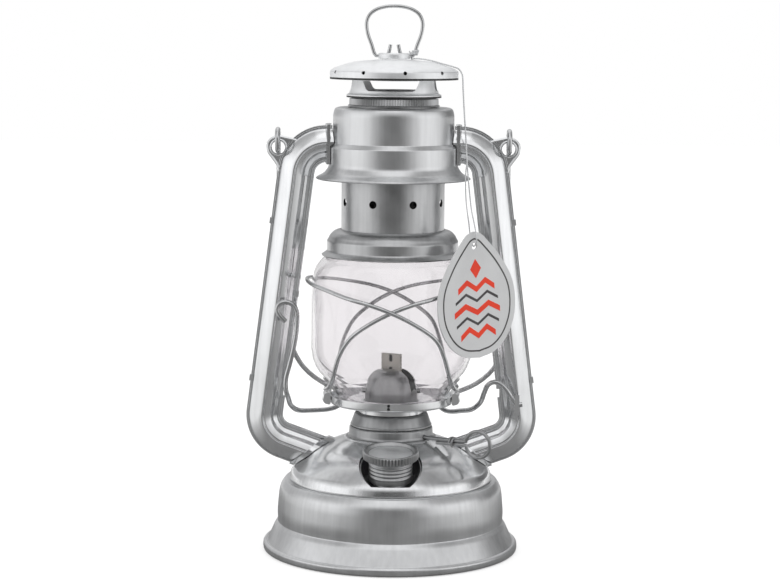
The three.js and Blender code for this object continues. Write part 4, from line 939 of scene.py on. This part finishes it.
carve(window_ring, window_tool("front_windows", 29, 24.5, "Y"))
carve(window_ring, window_tool("side_windows", 15, 13, "X"))
finish_piece(window_ring, "window_ring", PALE_TIN)
dress(window_ring, PAINTED_SHADE_TIN, lambda middle, normal: middle.z < RING_SHADE)

bright_piece(turned("cap_disc", [(0, 245.75), (31.9, 245.75), (31.9, 246.45), (0, 246.45)]), "cap_plate")

# Nine small holes in the lid's side, evenly apart but not quite all round
LID_HOLES, LID_HOLE_STEP, LID_HOLE_TURN, LID_HOLE_HEIGHT, LID_HOLE_RADIUS = 9, 37.6, 9.7, 248.9, 0.95
lid = turned("lid_shell", [
    (33.0, 245.2), (33.0, LID_SHADE), (33.0, 249.3, 0.6), (32.1, 250.0, 0.6), (30.6, 251.0, 1.5),
    (21.0, 254.2, 4), (8.6, 255.2, 2), (0, 255.3),
], SHEET)
for i in range(LID_HOLES):
    angle = (LID_HOLE_TURN - 90 + LID_HOLE_STEP * (i - LID_HOLES // 2)) * DEGREE
    carve(lid, spoke("lid_hole", angle, 28, 36, LID_HOLE_HEIGHT, LID_HOLE_RADIUS, 16))
finish_piece(lid, "cap_lid", PALE_TIN)
dress(lid, PAINTED_SHADE_TIN, lambda middle, normal: middle.z < LID_SHADE or normal.xy.dot(middle.xy) < -5)

# The feet of the hand ring pass through the boss, and its ends stand up inside
RING_PIVOT, RING_HALF_WIDTH, RING_RISE, RING_WIRE, RING_GAP = 257.2, 14.3, 25.3, 0.95, 0.35
boss = turned("boss_ring", [
    (6.7, 255.6), (8.1, 255.6, 0.3), (8.2, 256.2, 0.3), (8.2, 258.2, 0.7), (7.4, 258.7, 0.5),
    (6.7, 258.2),
], closed=True, steps=48)
carve(boss, bar("ring_bore", (-12, 0, RING_PIVOT), (12, 0, RING_PIVOT), RING_WIRE + RING_GAP))
finish_piece(boss, "cap_boss", PALE_TIN)

# The bow on one side, from its foot up. Rows: share of its half width, share of its rise
RING_SHARES = [
    (0.66, 0.0), (0.72, 0.045), (0.82, 0.22), (0.94, 0.4), (1, 0.56), (0.985, 0.71), (0.87, 0.84),
    (0.64, 0.933), (0.33, 0.985), (0, 1),
]


def ring_side(side):
    """Half of the hand ring, from the tip of its stub to the top of its bow."""
    stub = [(1.95, 262.9), (2.5, 260.2), (3.4, 257.9), (5.2, RING_PIVOT), (8.2, RING_PIVOT)]
    bow = [(RING_HALF_WIDTH * out, RING_PIVOT + RING_RISE * up) for out, up in RING_SHARES]
    return [(side * x, 0, z) for x, z in stub + bow]


ring_places = flowing(ring_side(-1) + ring_side(1)[-2::-1], 1.2)
wire_piece(bent_wire("hand_ring_wire", ring_places, RING_WIRE), "hand_ring")

# Hood

hood = turned("hood_shell", [
    (40.05, 194.4), (39.3, 195.2, 0.5), (35.6, 197.1, 2.5), (33.6, 200.0, 1.5), (33.3, 201.5, 1),
    (33.3, 210.3, 0.5), (31.25, 212.4, 0.4), (31.2, 227.4, 2.2), (30.3, 230.2, 1.6), (28.6, 230.9, 1.0),
    (22.2, 230.9),
], SHEET)
tin_piece(hood, "hood", 28)

# The neck of the hood is finely crimped above its foot
CRIMPS, CRIMP_FACTORS, CRIMP_FOOT, NECK_WALL = 104, (1, 0.98), 231.8, 0.5
hood_neck = turned("hood_neck", [
    (23.6, 231.55), (23.5, 232.0), (22.95, 232.3, 0.2), (23.0, 233.4), (22.95, 234.4), (22.9, 235.35),
], NECK_WALL, steps=CRIMPS * len(CRIMP_FACTORS))
pinch(hood_neck, CRIMPS, CRIMP_FACTORS, lambda radius, z: z > CRIMP_FOOT)
finish_piece(hood_neck, "hood_collar", FLAME_TIN, 20)
tin_piece(turned("baffle_ring", [
    (27.1, 203.2), (32.2, 203.2), (32.2, 203.9), (27.1, 203.9),
], closed=True), "hood_baffle")

# Side tubes

# Each tube leaves the hood level, bends down, leans out to a second bend, and slopes into the dome.
# Bends: the middle of each, and its radius to the middle of the tube
UPPER_BEND, UPPER_RADIUS = Vector((34.2, 0, 195.8)), 16.1
LOWER_BEND, LOWER_RADIUS = Vector((51.5, 0, 70.4)), 14.65
FOOT_SLOPE = 20 * DEGREE
HOOD_REACH, FOOT_REACH = 15.3, 33.66
BEND_STEPS, RUN_STEPS = 16, 4
SEAM_GAP = 0.2
run = LOWER_BEND - UPPER_BEND
TUBE_LEAN = math.atan2(run.x, -run.z) - math.asin((UPPER_RADIUS - LOWER_RADIUS) / run.length)

# Outline of a front pressing: depth towards the front, distance towards the lantern
PRESSING = eased([
    (0.45, -9.6), (1.3, -9.5, 0.25), (1.3, -8.6, 0.25), (0.45, -8.5, 0.1), (0.45, -8.0, 0.2),
    (3.1, -7.75, 0.9), (5.4, -5.6, 2.5), (7.5, -2.7, 2.5), (8.2, -1.1, 0.6), (8.1, -0.4, 0.3),
    (7.0, -0.1, 0.2), (6.9, 0.5, 0.3), (5.6, 3.6, 0.4), (3.6, 4.3, 0.4), (3.0, 5.0, 0.5),
    (2.2, 6.7, 0.4), (0.45, 7.2, 0.3), (0.5, 7.9, 0.2), (1.15, 8.3, 0.3), (1.15, 9.1, 0.3), (0.45, 9.55),
], 3)
# The same for the opening round a tube's ends, a little clear of the pressing
SLEEVE = [
    (1.7, -9.2), (1.7, -8.3), (3.4, -8.1), (7.9, -2.9), (8.5, -1.2), (8.4, -0.1), (7.3, 0.8),
    (5.9, 4.0), (3.6, 5.3), (2.6, 7.0), (1.6, 7.6), (1.5, 9.4),
]
SLEEVE_SECTION = [(-depth, side) for depth, side in SLEEVE] + SLEEVE[::-1]


def run_x(height, side=0):
    """Where the straight run of a tube is at a height: its middle, or a line along its side."""
    start = LOWER_BEND.x + (LOWER_RADIUS - side) / math.cos(TUBE_LEAN)
    return start - (height - LOWER_BEND.z) * math.tan(TUBE_LEAN)


def extrude_by(step):
    bpy.ops.mesh.extrude_region_move(TRANSFORM_OT_translate={"value": step * MM})


def bend_by(centre, angle):
    bpy.ops.mesh.spin(steps=BEND_STEPS, angle=angle, center=centre * MM, axis=(0, 1, 0))


def pressing(name):
    """Draw a pressing's outline at the hood end, then extrude and spin it down to the tank."""
    top = UPPER_BEND + Vector((-HOOD_REACH, 0, UPPER_RADIUS))
    outline = [(SEAM_GAP, PRESSING[0][1]), *PRESSING, (SEAM_GAP, PRESSING[-1][1])]
    obj = draw_line(name, [(top.x, -depth, top.z - side) for depth, side in outline], closed=True)
    extrude_by(Vector((HOOD_REACH, 0, 0)))
    bend_by(UPPER_BEND, TUBE_LEAN - math.pi / 2)
    out = Vector((math.cos(TUBE_LEAN), 0, math.sin(TUBE_LEAN)))
    fall = LOWER_BEND + out * LOWER_RADIUS - UPPER_BEND - out * UPPER_RADIUS
    for _ in range(RUN_STEPS):
        extrude_by(fall / RUN_STEPS)
    bend_by(LOWER_BEND, FOOT_SLOPE - TUBE_LEAN - math.pi / 2)
    extrude_by(Vector((-math.cos(FOOT_SLOPE), 0, -math.sin(FOOT_SLOPE))) * FOOT_REACH)
    bpy.ops.mesh.select_all(action="SELECT")
    bpy.ops.mesh.remove_doubles(threshold=MERGE_GAP * MM)
    bpy.ops.mesh.fill_holes(sides=0)
    return close_up(obj)


FILL_DEPTH = 12


def filled(name, outline, gap):
    """A solid of a turned outline, grown by the gap, filled in to the axis and down to below its foot."""
    line = eased(outline)
    base = min(spot[1] for spot in line) - FILL_DEPTH
    closed = grown([(0, base), (line[0][0], base), *line, (0, line[-1][1])], gap)
    return turned(name, [(0, closed[0][1]), *closed[1:-1], (0, closed[-1][1])])


# The dome and the hood as solids, a little larger than the pieces, so that the tubes end clear of them
TUBE_GAP = 0.35
HOOD_SIDE = [(33.3, 196.0), (33.3, 210.3, 0.5), (31.25, 212.4, 0.4), (31.2, 230.9)]
dome_solid = filled("dome_solid", DOME_OUTLINE, TUBE_GAP)
hood_solid = filled("hood_solid", HOOD_SIDE, TUBE_GAP)
front_half = pressing("tube_front")

# The ear that carries the bail: a plate with a hollow, and rims rolled round its edge and its hole
EAR_MIDDLE, EAR_RADIUS, EAR_HOLE, EAR_FACE = (59.3, 209.8), 5.6, 3.4, -0.95
EAR_RIM_WIRE, HOLE_RIM_WIRE, HOLE_RIM_RADIUS = 0.7, 0.6, 4.1
ear_outline = [
    (43.0, 211.0), (50.0, 213.6), *arc(EAR_MIDDLE, EAR_RADIUS, 105, -40, 14), (59.6, 200.5),
    (58.8, 197.6), (52.0, 196.8),
]
hollow_outline = [(51.2, 212.0), (55.2, 211.6), (55.0, 208.4), (57.6, 204.4), (57.9, 201.6)]
ear_plate = prism("ear_plate", ear_outline, EAR_FACE, -SEAM_GAP)
ear_hole = bar("ear_hole", (EAR_MIDDLE[0], -9, EAR_MIDDLE[1]), (EAR_MIDDLE[0], 9, EAR_MIDDLE[1]), EAR_HOLE)
carve(ear_plate, prism("ear_hollow", hollow_outline, -1.5, -0.6))
cut_away(ear_plate, ear_hole, hood_solid)
ear_rim = flowing([(x, EAR_FACE, z) for x, z in ear_outline[1:-1]], 1)
hole_rim = [(x, EAR_FACE, z) for x, z in arc(EAR_MIDDLE, HOLE_RIM_RADIUS, 0, 360, 28)]
ear_rims = [
    bent_wire("ear_rim", ear_rim, EAR_RIM_WIRE, 4), bent_wire("hole_rim", hole_rim, HOLE_RIM_WIRE, 4),
]

# The inner flange is notched where the lever passes
NOTCH_LOW, NOTCH_HIGH = 80.2, 84.8
notch_x = run_x((NOTCH_LOW + NOTCH_HIGH) / 2, 9.65)
notch = block("notch", (notch_x - 2, -9, NOTCH_LOW), (notch_x + 1.4, 9, NOTCH_HIGH))
cut_away(front_half, dome_solid, hood_solid)
carve(front_half, ear_hole, notch)

# Crimps hold the two halves together. Rows: height, distance towards the lantern
CRIMP_HALF_WIDTH, CRIMP_HALF_HEIGHT, CRIMP_FRONT, CRIMP_BACK = 0.85, 1.5, -1.75, -0.25
CRIMP_PLACES = [(172.0, -9.3), (89.7, -9.3), (133.8, 8.9)]
crimps = []
for height, side in CRIMP_PLACES:
    x = run_x(height, side)
    crimp = block(
        "crimp", (x - CRIMP_HALF_WIDTH, CRIMP_FRONT, height - CRIMP_HALF_HEIGHT),
        (x + CRIMP_HALF_WIDTH, CRIMP_BACK, height + CRIMP_HALF_HEIGHT))
    crimps.append(turn_about(crimp, -TUBE_LEAN, "Y", (x, 0, height)))
joined(front_half, ear_plate, *ear_rims, *crimps)
back_right = mirrored(front_half, "tube_back_right", y=-1)
front_left = mirrored(front_half, "tube_front_left", x=-1)
back_left = mirrored(front_half, "tube_back_left", x=-1, y=-1)
for half, node in (
    (front_half, "right_tube_front"), (back_right, "right_tube_back"),
    (front_left, "left_tube_front"), (back_left, "left_tube_back"),
):
    bright_piece(half, node, 30)

# A thin upright flange where each tube enters the hood, shaped to the hood
SOCKET_HALF_WIDTH, SOCKET_HALF_HEIGHT, SOCKET_START, SOCKET_END = 9.3, 10.2, 26, 37
SOCKET_INSIDE, SOCKET_OUTSIDE = 33.65, 35.2
upper_z = UPPER_BEND.z + UPPER_RADIUS
low_z, high_z = upper_z - SOCKET_HALF_HEIGHT, upper_z + SOCKET_HALF_HEIGHT
socket = block(
    "socket", (SOCKET_START, -SOCKET_HALF_WIDTH, low_z), (SOCKET_END, SOCKET_HALF_WIDTH, high_z))
socket_limit = bar("socket_limit", (0, 0, 190), (0, 0, 240), SOCKET_OUTSIDE, ROUND_STEPS)
hood_room = bar("hood_room", (0, 0, 190), (0, 0, 240), SOCKET_INSIDE, ROUND_STEPS)
room_section = [(y, upper_z - side) for y, side in SLEEVE_SECTION]
tube_room = prism("tube_room", room_section, SOCKET_START, SOCKET_END, "X")
carve(socket, socket_limit, operation="INTERSECT")
carve(socket, tube_room, hood_room)
bright_pair(socket, "right_hood_socket", "left_hood_socket")

# A collar where each tube enters the dome
COLLAR_WALL, COLLAR_HEIGHT = 0.95, 2.6
foot_start = LOWER_BEND + Vector((math.sin(FOOT_SLOPE), 0, -math.cos(FOOT_SLOPE))) * LOWER_RADIUS


def along_foot(name, gap):
    """The tube's section, grown by the gap, along the straight end of the tube."""
    outline = [(y, foot_start.z + side) for y, side in grown(SLEEVE_SECTION, gap)]
    length = prism(name, outline, foot_start.x - 36, foot_start.x + 2, "X")
    return turn_about(length, -FOOT_SLOPE, "Y", foot_start)


foot_collar = along_foot("foot_collar", COLLAR_WALL)
carve(foot_collar, filled("collar_limit", DOME_OUTLINE, COLLAR_HEIGHT), operation="INTERSECT")
carve(foot_collar, along_foot("foot_inside", 0), dome_solid)
bright_pair(foot_collar, "right_tube_foot", "left_tube_foot")
throw_away(hood_solid)

# Handling

# The bail hangs behind the lantern from an eye in each ear, and rests against the globe.
# Rows: share of its half width, share of its length
BAIL_X, BAIL_Z, BAIL_LENGTH, BAIL_SWAY = 59.6, 213.5, 150, 5
BAIL_WIRE, BAIL_EYE, BAIL_GAP = 1.3, 5.5, 0.6
BAIL_TILT = math.asin((GLOBE_RADIUS + BAIL_GAP + BAIL_WIRE - BAIL_EYE / 2) / BAIL_LENGTH)
BAIL_SHARES = [
    (1, 0.06), (1, 0.35), (0.985, 0.66), (0.955, 0.78), (0.86, 0.866), (0.7, 0.925), (0.48, 0.965),
    (0.25, 0.99), (0, 1),
]


def bail_place(x, down, back):
    """A place on the bail: to the right, down along it from its pivots, and behind it."""
    c, s = math.cos(BAIL_TILT), math.sin(BAIL_TILT)
    return (x, down * s + back * c, BAIL_Z - down * c + back * s)


def bail_side(side):
    """The eye and the leg on one side. The leg leans out to the right on its way down."""
    eye_turn = arc((0, 0), BAIL_EYE, 275, -10, 20)
    eye = [bail_place(side * BAIL_X, -up, back) for back, up in eye_turn]
    leg = [
        bail_place(side * BAIL_X * out + BAIL_SWAY * down ** 2, down * BAIL_LENGTH, BAIL_EYE / 2)
        for out, down in BAIL_SHARES
    ]
    return eye, leg


left_eye, left_leg = bail_side(-1)
right_eye, right_leg = bail_side(1)
bail_places = left_eye + flowing(left_leg + right_leg[-2::-1], 4) + right_eye[::-1]
wire_piece(bent_wire("bail_wire", bail_places, BAIL_WIRE), "carrying_bail")

# The lift lever: from its bracket at the right, under the globe plate, to a hook at the left.
# Rows: share of its reach, share of its depth in front or behind, share of the hook's rise
LEVER_X, LEVER_Z, LEVER_REACH, LEVER_FRONT, LEVER_BACK = 64.2, 78.3, 116.1, 9.9, 24.5
HOOK_RISE, PUSH_Z, LEVER_WIRE = 52.4, 75.35, 1.3
LEVER_ROWS = [
    (-0.032, -1, 0), (0, -1, 0), (0.014, -1, 0.06), (0.04, -1, 0.147), (0.067, -1, 0.204),
    (0.096, -1, 0.223), (0.121, -0.86, 0.19), (0.136, -0.6, 0.11), (0.151, -0.25, 0),
    (0.184, 0.12, -0.09), (0.232, 0.41, -0.135), (0.304, 0.73, -0.16),
]
PUSH_ROWS = [(0.377, 0.94), (0.454, 1), (0.556, 1), (0.676, 0.99), (0.744, 0.91)]
HOOK_ROWS = [
    (0.813, 0.71, -0.14), (0.915, 0.35, -0.14), (0.975, 0.14, -0.12), (1.003, -0.2, -0.055),
    (1.012, -0.75, 0.03),
    (1.023, -1, 0.125), (1.024, -1, 0.23), (1.008, -1, 0.375), (0.991, -1, 0.53), (0.979, -1, 0.68),
    (0.974, -1, 0.82), (0.977, -1, 0.91), (0.994, -1, 0.975), (1.024, -1, 1), (1.053, -1, 0.98),
    (1.064, -1, 0.925), (1.053, -1, 0.87), (1.024, -1, 0.805),
]


def lever_place(out, depth, rise):
    most = LEVER_FRONT if depth < 0 else LEVER_BACK
    return (LEVER_X - LEVER_REACH * out, depth * most, LEVER_Z + HOOK_RISE * rise)


lever_places = [
    *[lever_place(*row) for row in LEVER_ROWS],
    *[(*lever_place(out, depth, 0)[:2], PUSH_Z) for out, depth in PUSH_ROWS],
    *[lever_place(*row) for row in HOOK_ROWS],
]
wire_piece(bent_wire("lever_wire", flowing(lever_places, 1.5), LEVER_WIRE), "lift_lever")

# The card tag, with a pattern of zigzag bands in two inks

TAG_WIDTH, TAG_HEIGHT, TAG_THICKNESS = 51, 65, 0.8
TAG_HOLE_Z, TAG_HOLE_RADIUS = -7.5, 1.7
TAG_TURN, TAG_LEAN = 38 * DEGREE, 4.5 * DEGREE
TAG_APEX = Vector((40.6, -28.6, 169.8))
TAG_TURNED = Matrix.Rotation(TAG_TURN, 4, "Z") @ Matrix.Rotation(-TAG_LEAN, 4, "Y")
TAG_PLACE = Matrix.Translation(TAG_APEX * MM) @ TAG_TURNED
# The right half of its outline. Rows: share of the half width, share of the height from its foot
TAG_SHARES = [
    (0, 0), (0.4, 0.03), (0.72, 0.12), (0.95, 0.28), (1, 0.45), (0.93, 0.59), (0.68, 0.76),
    (0.38, 0.9), (0.16, 0.98), (0, 1),
]
# The inks lie a little in front of the card
INK_BACK, INK_FRONT = 0.01, 0.06
BORDER_OUTSIDE, BORDER_INSIDE = 3.2, 4.0
# Rows of the bands: height from the apex, half width
RED_BAND, RED_ROWS = 3.0, [(-27.5, 12.0), (-39.5, 15.0), (-51.5, 11.5)]
DARK_BAND, DARK_ROWS = 1.5, [(-33.5, 14.0), (-45.5, 14.0)]


def on_tag(obj):
    """Put a piece that was drawn flat, with the apex at the origin, in the tag's place."""
    obj.matrix_world = TAG_PLACE @ obj.matrix_world
    pick_up(obj)
    settle()
    return obj


def tag_outline(margin=0):
    side = [(TAG_WIDTH / 2 * out, 0, TAG_HEIGHT * (up - 1)) for out, up in TAG_SHARES]
    right = [(place.x, place.z) for place in flowing(side, 2)]
    outline = right + [(-x, z) for x, z in right[-2:0:-1]]
    return grown(outline, -margin) if margin else outline


def printed(name, outline):
    """An outline in ink on the front of the tag."""
    front = -TAG_THICKNESS / 2
    return on_tag(prism(name, outline, front - INK_FRONT, front - INK_BACK))


def zigzag(middle, half_width, band, rise=4.0, teeth=4):
    """A zigzag band of even width about a height on the tag."""
    line = [
        (half_width * (2 * i / teeth - 1), middle + (rise / 2 if i % 2 else -rise / 2))
        for i in range(teeth + 1)
    ]
    return [(x, z + band / 2) for x, z in line] + [(x, z - band / 2) for x, z in line[::-1]]


tag_card = prism("tag_card", tag_outline(), -TAG_THICKNESS / 2, TAG_THICKNESS / 2)
carve(tag_card, bar("tag_hole", (0, -3, TAG_HOLE_Z), (0, 3, TAG_HOLE_Z), TAG_HOLE_RADIUS))
tag_card = finish_piece(on_tag(tag_card), "hang_tag", CARD)

border = printed("border", tag_outline(BORDER_OUTSIDE))
carve(border, on_tag(prism("border_inside", tag_outline(BORDER_INSIDE), -2, 2)))
red_bands = [printed("red_band", zigzag(z, half, RED_BAND)) for z, half in RED_ROWS]
dark_bands = [printed("dark_band", zigzag(z, half, DARK_BAND)) for z, half in DARK_ROWS]
diamond = printed("diamond", [(0, -14.0), (3.6, -19.0), (0, -24.0), (-3.6, -19.0)])
for name, ink, pieces in (
    ("tag_red_print", RED_INK, [*red_bands, diamond]), ("tag_dark_print", DARK_INK, [*dark_bands, border]),
):
    tag_print = joined(*pieces)
    tag_print.name = name
    tag_print.data.materials.clear()
    tag_print.data.materials.append(ink)
    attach(tag_print, NODE_BODY["hang_tag"])

# The string: two strands laid round each other, from a loop on the hand ring, over the lid and past
# the hood, to a loop through the hole of the tag

STRING_WIDTH, STRAND_PITCH, STRAND_LAY, STRAND_RADIUS = 0.9, 1.9, 0.23, 0.26
STRING_ROUTE = [
    (7.62, -3.36, 259.60), (8.22, -2.64, 258.64), (8.82, -1.50, 257.82), (8.82, -0.62, 258.70),
    (8.82, 0.62, 258.70), (8.82, 1.50, 257.82), (8.82, 1.50, 256.58), (8.82, 0.62, 255.70),
    (9.05, -0.62, 255.70), (11.55, -2.66, 255.91), (14.65, -3.52, 255.66), (17.79, -4.12, 255.18),
    (20.88, -4.77, 254.44), (23.93, -5.47, 253.60), (26.96, -6.30, 252.84), (29.99, -7.20, 251.99),
    (32.87, -7.99, 250.85), (34.59, -8.64, 248.24), (35.03, -9.17, 245.10), (35.11, -9.68, 241.96),
    (35.30, -10.22, 238.72), (35.48, -10.77, 235.52), (35.67, -11.34, 232.34), (35.86, -11.93, 229.16),
    (36.07, -12.56, 225.99), (36.29, -13.20, 222.82), (36.50, -13.86, 219.66), (36.69, -14.52, 216.49),
    (36.87, -15.16, 213.32), (37.04, -15.81, 210.15), (37.23, -16.50, 206.99), (37.45, -17.24, 203.85),
    (37.68, -18.02, 200.71), (37.94, -18.85, 197.59), (38.20, -19.76, 194.48), (38.49, -20.76, 191.42),
    (38.79, -21.86, 188.39), (39.10, -23.05, 185.39), (39.43, -24.33, 182.44), (39.85, -25.75, 179.55),
    (40.41, -27.36, 176.80), (41.01, -28.78, 173.96), (41.63, -29.85, 170.96), (42.08, -30.38, 167.80),
    (42.20, -30.20, 164.59), (40.97, -28.44, 162.32), (39.53, -26.78, 164.48), (39.12, -26.53, 167.68),
    (38.76, -26.34, 170.89), (38.37, -26.11, 174.10), (37.90, -25.79, 177.29),
]


def laid_strands(name, places, width):
    """Two strands laid round a line."""
    line = flowing(places, STRAND_PITCH / 8)
    across = Vector((0.3, 0.9, 0.1))
    strands = [[], []]
    travelled = 0
    for before, here, after in zip([line[0], *line], line, [*line[1:], line[-1]]):
        heading = (after - before).normalized()
        across = (across - heading * across.dot(heading)).normalized()
        travelled += (here - before).length
        turn = math.tau * travelled / STRAND_PITCH
        lay = (across * math.cos(turn) + heading.cross(across) * math.sin(turn)) * width * STRAND_LAY
        strands[0].append(here + lay)
        strands[1].append(here - lay)
    return joined(*[bent_wire(name, strand, width * STRAND_RADIUS, 2) for strand in strands])


def string_piece(obj, name):
    smooth(obj, 60)
    obj.name = name
    obj.data.materials.clear()
    obj.data.materials.append(SILVER_STRING)
    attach(obj, NODE_BODY["tag_string"])
    return obj


second_strand = string_piece(laid_strands("second_strand", [
    STRING_ROUTE[-1], (37.15, -23.6, 183.0), (36.75, -21.0, 190.5), (36.75, -18.9, 197.6),
    (37.2, -17.5, 203.4),
], STRING_WIDTH * 0.9), "tag_string_return")

# The knot beside the hand ring: a little over three turns that climb and lean to the right
KNOT_FOOT, KNOT_RADIUS, KNOT_PLACES, KNOT_STEPS = Vector((10.2, -0.4, 257.8)), 1.4, 40, 12
KNOT_CLIMB, KNOT_LEAN = 0.06, 0.3
knot_places = []
for i in range(KNOT_PLACES):
    angle, climb = i * math.tau / KNOT_STEPS, i * KNOT_CLIMB
    x, y = KNOT_RADIUS * math.cos(angle) + climb * KNOT_LEAN, KNOT_RADIUS * math.sin(angle)
    knot_places.append(KNOT_FOOT + Vector((x, y, climb)))
knot = string_piece(laid_strands("knot", knot_places, STRING_WIDTH * 1.2), "tag_string_knot")

tag_string = string_piece(laid_strands("tag_string", STRING_ROUTE, STRING_WIDTH), "tag_string_look")
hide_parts("tag_string")

# The nodes whose own shape is right take their finish

for node, finish in (("wick_spurs", BURNER_TIN_AND_SHADE), ("lever_bracket", BRIGHT_TIN)):
    materials = frame["nodes"][node].data.materials
    materials.clear()
    materials.append(finish)

# Studio

let_go()
bpy.ops.mesh.primitive_plane_add(size=8, location=(0, 0, 0))
floor = bpy.context.object
floor.name = "floor"
FLOOR_WHITE, floor_nodes, floor_links, table = shader("floor_white")
sweep = floor_nodes.new("ShaderNodeBsdfPrincipled")
for surface, level in ((table, 0.2), (sweep, 0.5)):
    surface.inputs["Base Color"].default_value = (level, level, level, 1)
    surface.inputs["Roughness"].default_value = 1
    surface.inputs["Specular IOR Level"].default_value = 0
sweep.inputs["Emission Color"].default_value = (1, 1, 1, 1)
sweep.inputs["Emission Strength"].default_value = 0.5
spot, across = floor_nodes.new("ShaderNodeTexCoord"), floor_nodes.new("ShaderNodeSeparateXYZ")
floor_links.new(spot.outputs["Object"], across.inputs[0])

# The camera sees the sweep, and the metal mirrors it far behind the lantern and beside it
seen = ray_mask(floor_nodes, floor_links, "Is Camera Ray", "Is Transmission Ray")
behind = graded(floor_nodes, floor_links, across.outputs["Y"], 0.15, 0.7)
aside = combine(floor_nodes, floor_links, "ABSOLUTE", across.outputs["X"])
away = combine(floor_nodes, floor_links, "ABSOLUTE", across.outputs["Y"])
slant = combine(
    floor_nodes, floor_links, "DIVIDE", aside, combine(floor_nodes, floor_links, "ADD", away, 0.3))
beside = graded(floor_nodes, floor_links, slant, 0.36, 0.9, 0, 0.68)
in_tin = combine(
    floor_nodes, floor_links, "MULTIPLY", ray_mask(floor_nodes, floor_links, "Is Glossy Ray"),
    combine(floor_nodes, floor_links, "MAXIMUM", behind, beside))
lit = combine(floor_nodes, floor_links, "MAXIMUM", seen, in_tin)
floor_mix = mixed(floor_nodes, floor_links, lit, table, sweep)
floor_links.new(floor_mix.outputs[0], floor_nodes["Material Output"].inputs["Surface"])
floor.data.materials.append(FLOOR_WHITE)


def area_lamp(name, place, aim, width, height, power):
    let_go()
    bpy.ops.object.light_add(type="AREA", location=place)
    lamp = bpy.context.object
    lamp.name = name
    lamp.data.shape = "RECTANGLE"
    lamp.data.size = width
    lamp.data.size_y = height
    lamp.data.energy = power
    lamp.rotation_euler = (Vector(aim) - Vector(place)).to_track_quat("-Z", "Y").to_euler()
    return lamp


LANTERN_MIDDLE = (0, 0, 0.14)
area_lamp("left_panel", (-1.25, -0.45, 0.6), LANTERN_MIDDLE, 1.1, 1.1, 0.5)
area_lamp("right_panel", (1.25, -0.45, 0.6), LANTERN_MIDDLE, 1.1, 1.1, 0.5)
area_lamp("top_panel", (0, -0.1, 1.5), LANTERN_MIDDLE, 0.9, 0.9, 0.6)

world = bpy.data.worlds.new("studio")
bpy.context.scene.world = world
world.use_nodes = True
world_nodes, world_links = world.node_tree.nodes, world.node_tree.links
room = world_nodes["Background"]
room.inputs["Color"].default_value = (1, 1, 1, 1)
room.inputs["Strength"].default_value = 1.3
white = world_nodes.new("ShaderNodeBackground")
white.inputs["Color"].default_value = (1, 1, 1, 1)
white.inputs["Strength"].default_value = 1

# What the metal mirrors: soft boxes at both sides, a dim room behind the camera, and a grey edge
# behind each shoulder. Rows: azimuth from the camera in degrees, positive to the right, brightness
ROOM_ROWS = [
    (-180, 0.42), (-164, 0.56), (-128, 0.46), (-104, 0.78), (-96, 0.96), (-54, 0.98), (-40, 0.7),
    (-27, 0.26), (-14, 0.08), (12, 0.08), (24, 0.24), (36, 0.66), (50, 0.95), (94, 0.95), (108, 0.3),
    (126, 0.13), (152, 0.2), (166, 0.4), (180, 0.42),
]
CEILING_ROWS = [
    (-180, 1), (-130, 0.8), (-95, 0.4), (-62, 0.48), (-34, 0.96), (34, 0.96), (58, 0.45), (95, 0.28),
    (130, 0.66), (180, 1),
]
aim = world_nodes.new("ShaderNodeTexCoord")
parts = world_nodes.new("ShaderNodeSeparateXYZ")
world_links.new(aim.outputs["Generated"], parts.inputs[0])
ahead = combine(world_nodes, world_links, "MULTIPLY", parts.outputs["Y"], -1.0)
azimuth = combine(world_nodes, world_links, "ARCTAN2", parts.outputs["X"], ahead)
turn = combine(world_nodes, world_links, "MULTIPLY_ADD", azimuth, 1 / math.tau, 0.5)


def around(rows):
    """The brightness in these rows, for the direction that is asked for."""
    bands = world_nodes.new("ShaderNodeValToRGB")
    bands.color_ramp.interpolation = "EASE"
    for i, (angle, level) in enumerate(rows):
        place = (angle + 180) / 360
        stop = bands.color_ramp.elements[i] if i < 2 else bands.color_ramp.elements.new(place)
        stop.position = place
        stop.color = (level, level, level * 1.01, 1)
    world_links.new(turn, bands.inputs["Fac"])
    return bands.outputs["Color"]


overhead = graded(world_nodes, world_links, parts.outputs["Z"], 0.28, 0.62)
lifted = world_nodes.new("ShaderNodeMixRGB")
world_links.new(around(CEILING_ROWS), lifted.inputs["Color2"])
world_links.new(overhead, lifted.inputs["Fac"])
world_links.new(around(ROOM_ROWS), lifted.inputs["Color1"])
mirror_room = world_nodes.new("ShaderNodeBackground")
mirror_room.inputs["Strength"].default_value = 1.05
world_links.new(lifted.outputs["Color"], mirror_room.inputs["Color"])
in_mirror = ray_mask(world_nodes, world_links, "Is Glossy Ray")
in_view = ray_mask(world_nodes, world_links, "Is Camera Ray", "Is Transmission Ray")
lighting = mixed(world_nodes, world_links, in_mirror, room, mirror_room)
backdrop = mixed(world_nodes, world_links, in_view, lighting, white)
world_links.new(backdrop.outputs[0], world_nodes["World Output"].inputs["Surface"])

# The camera stands as it did for the photograph, with its horizon a little aslant
PHOTO_WIDTH, FOCAL_PIXELS, SENSOR = 780, 2170, 36
let_go()
bpy.ops.object.camera_add(location=(0, -1.119, 0.2713), rotation=(83.051 * DEGREE, 0, 0))
camera = bpy.context.object
camera.name = "camera"
camera.data.sensor_width = SENSOR
camera.data.lens = FOCAL_PIXELS / PHOTO_WIDTH * SENSOR
camera.data.shift_x = -0.0028
camera.matrix_world = camera.matrix_world @ Matrix.Rotation(0.53 * DEGREE, 4, "Z")
bpy.context.scene.camera = camera
bpy.context.scene.view_settings.view_transform = "Standard"
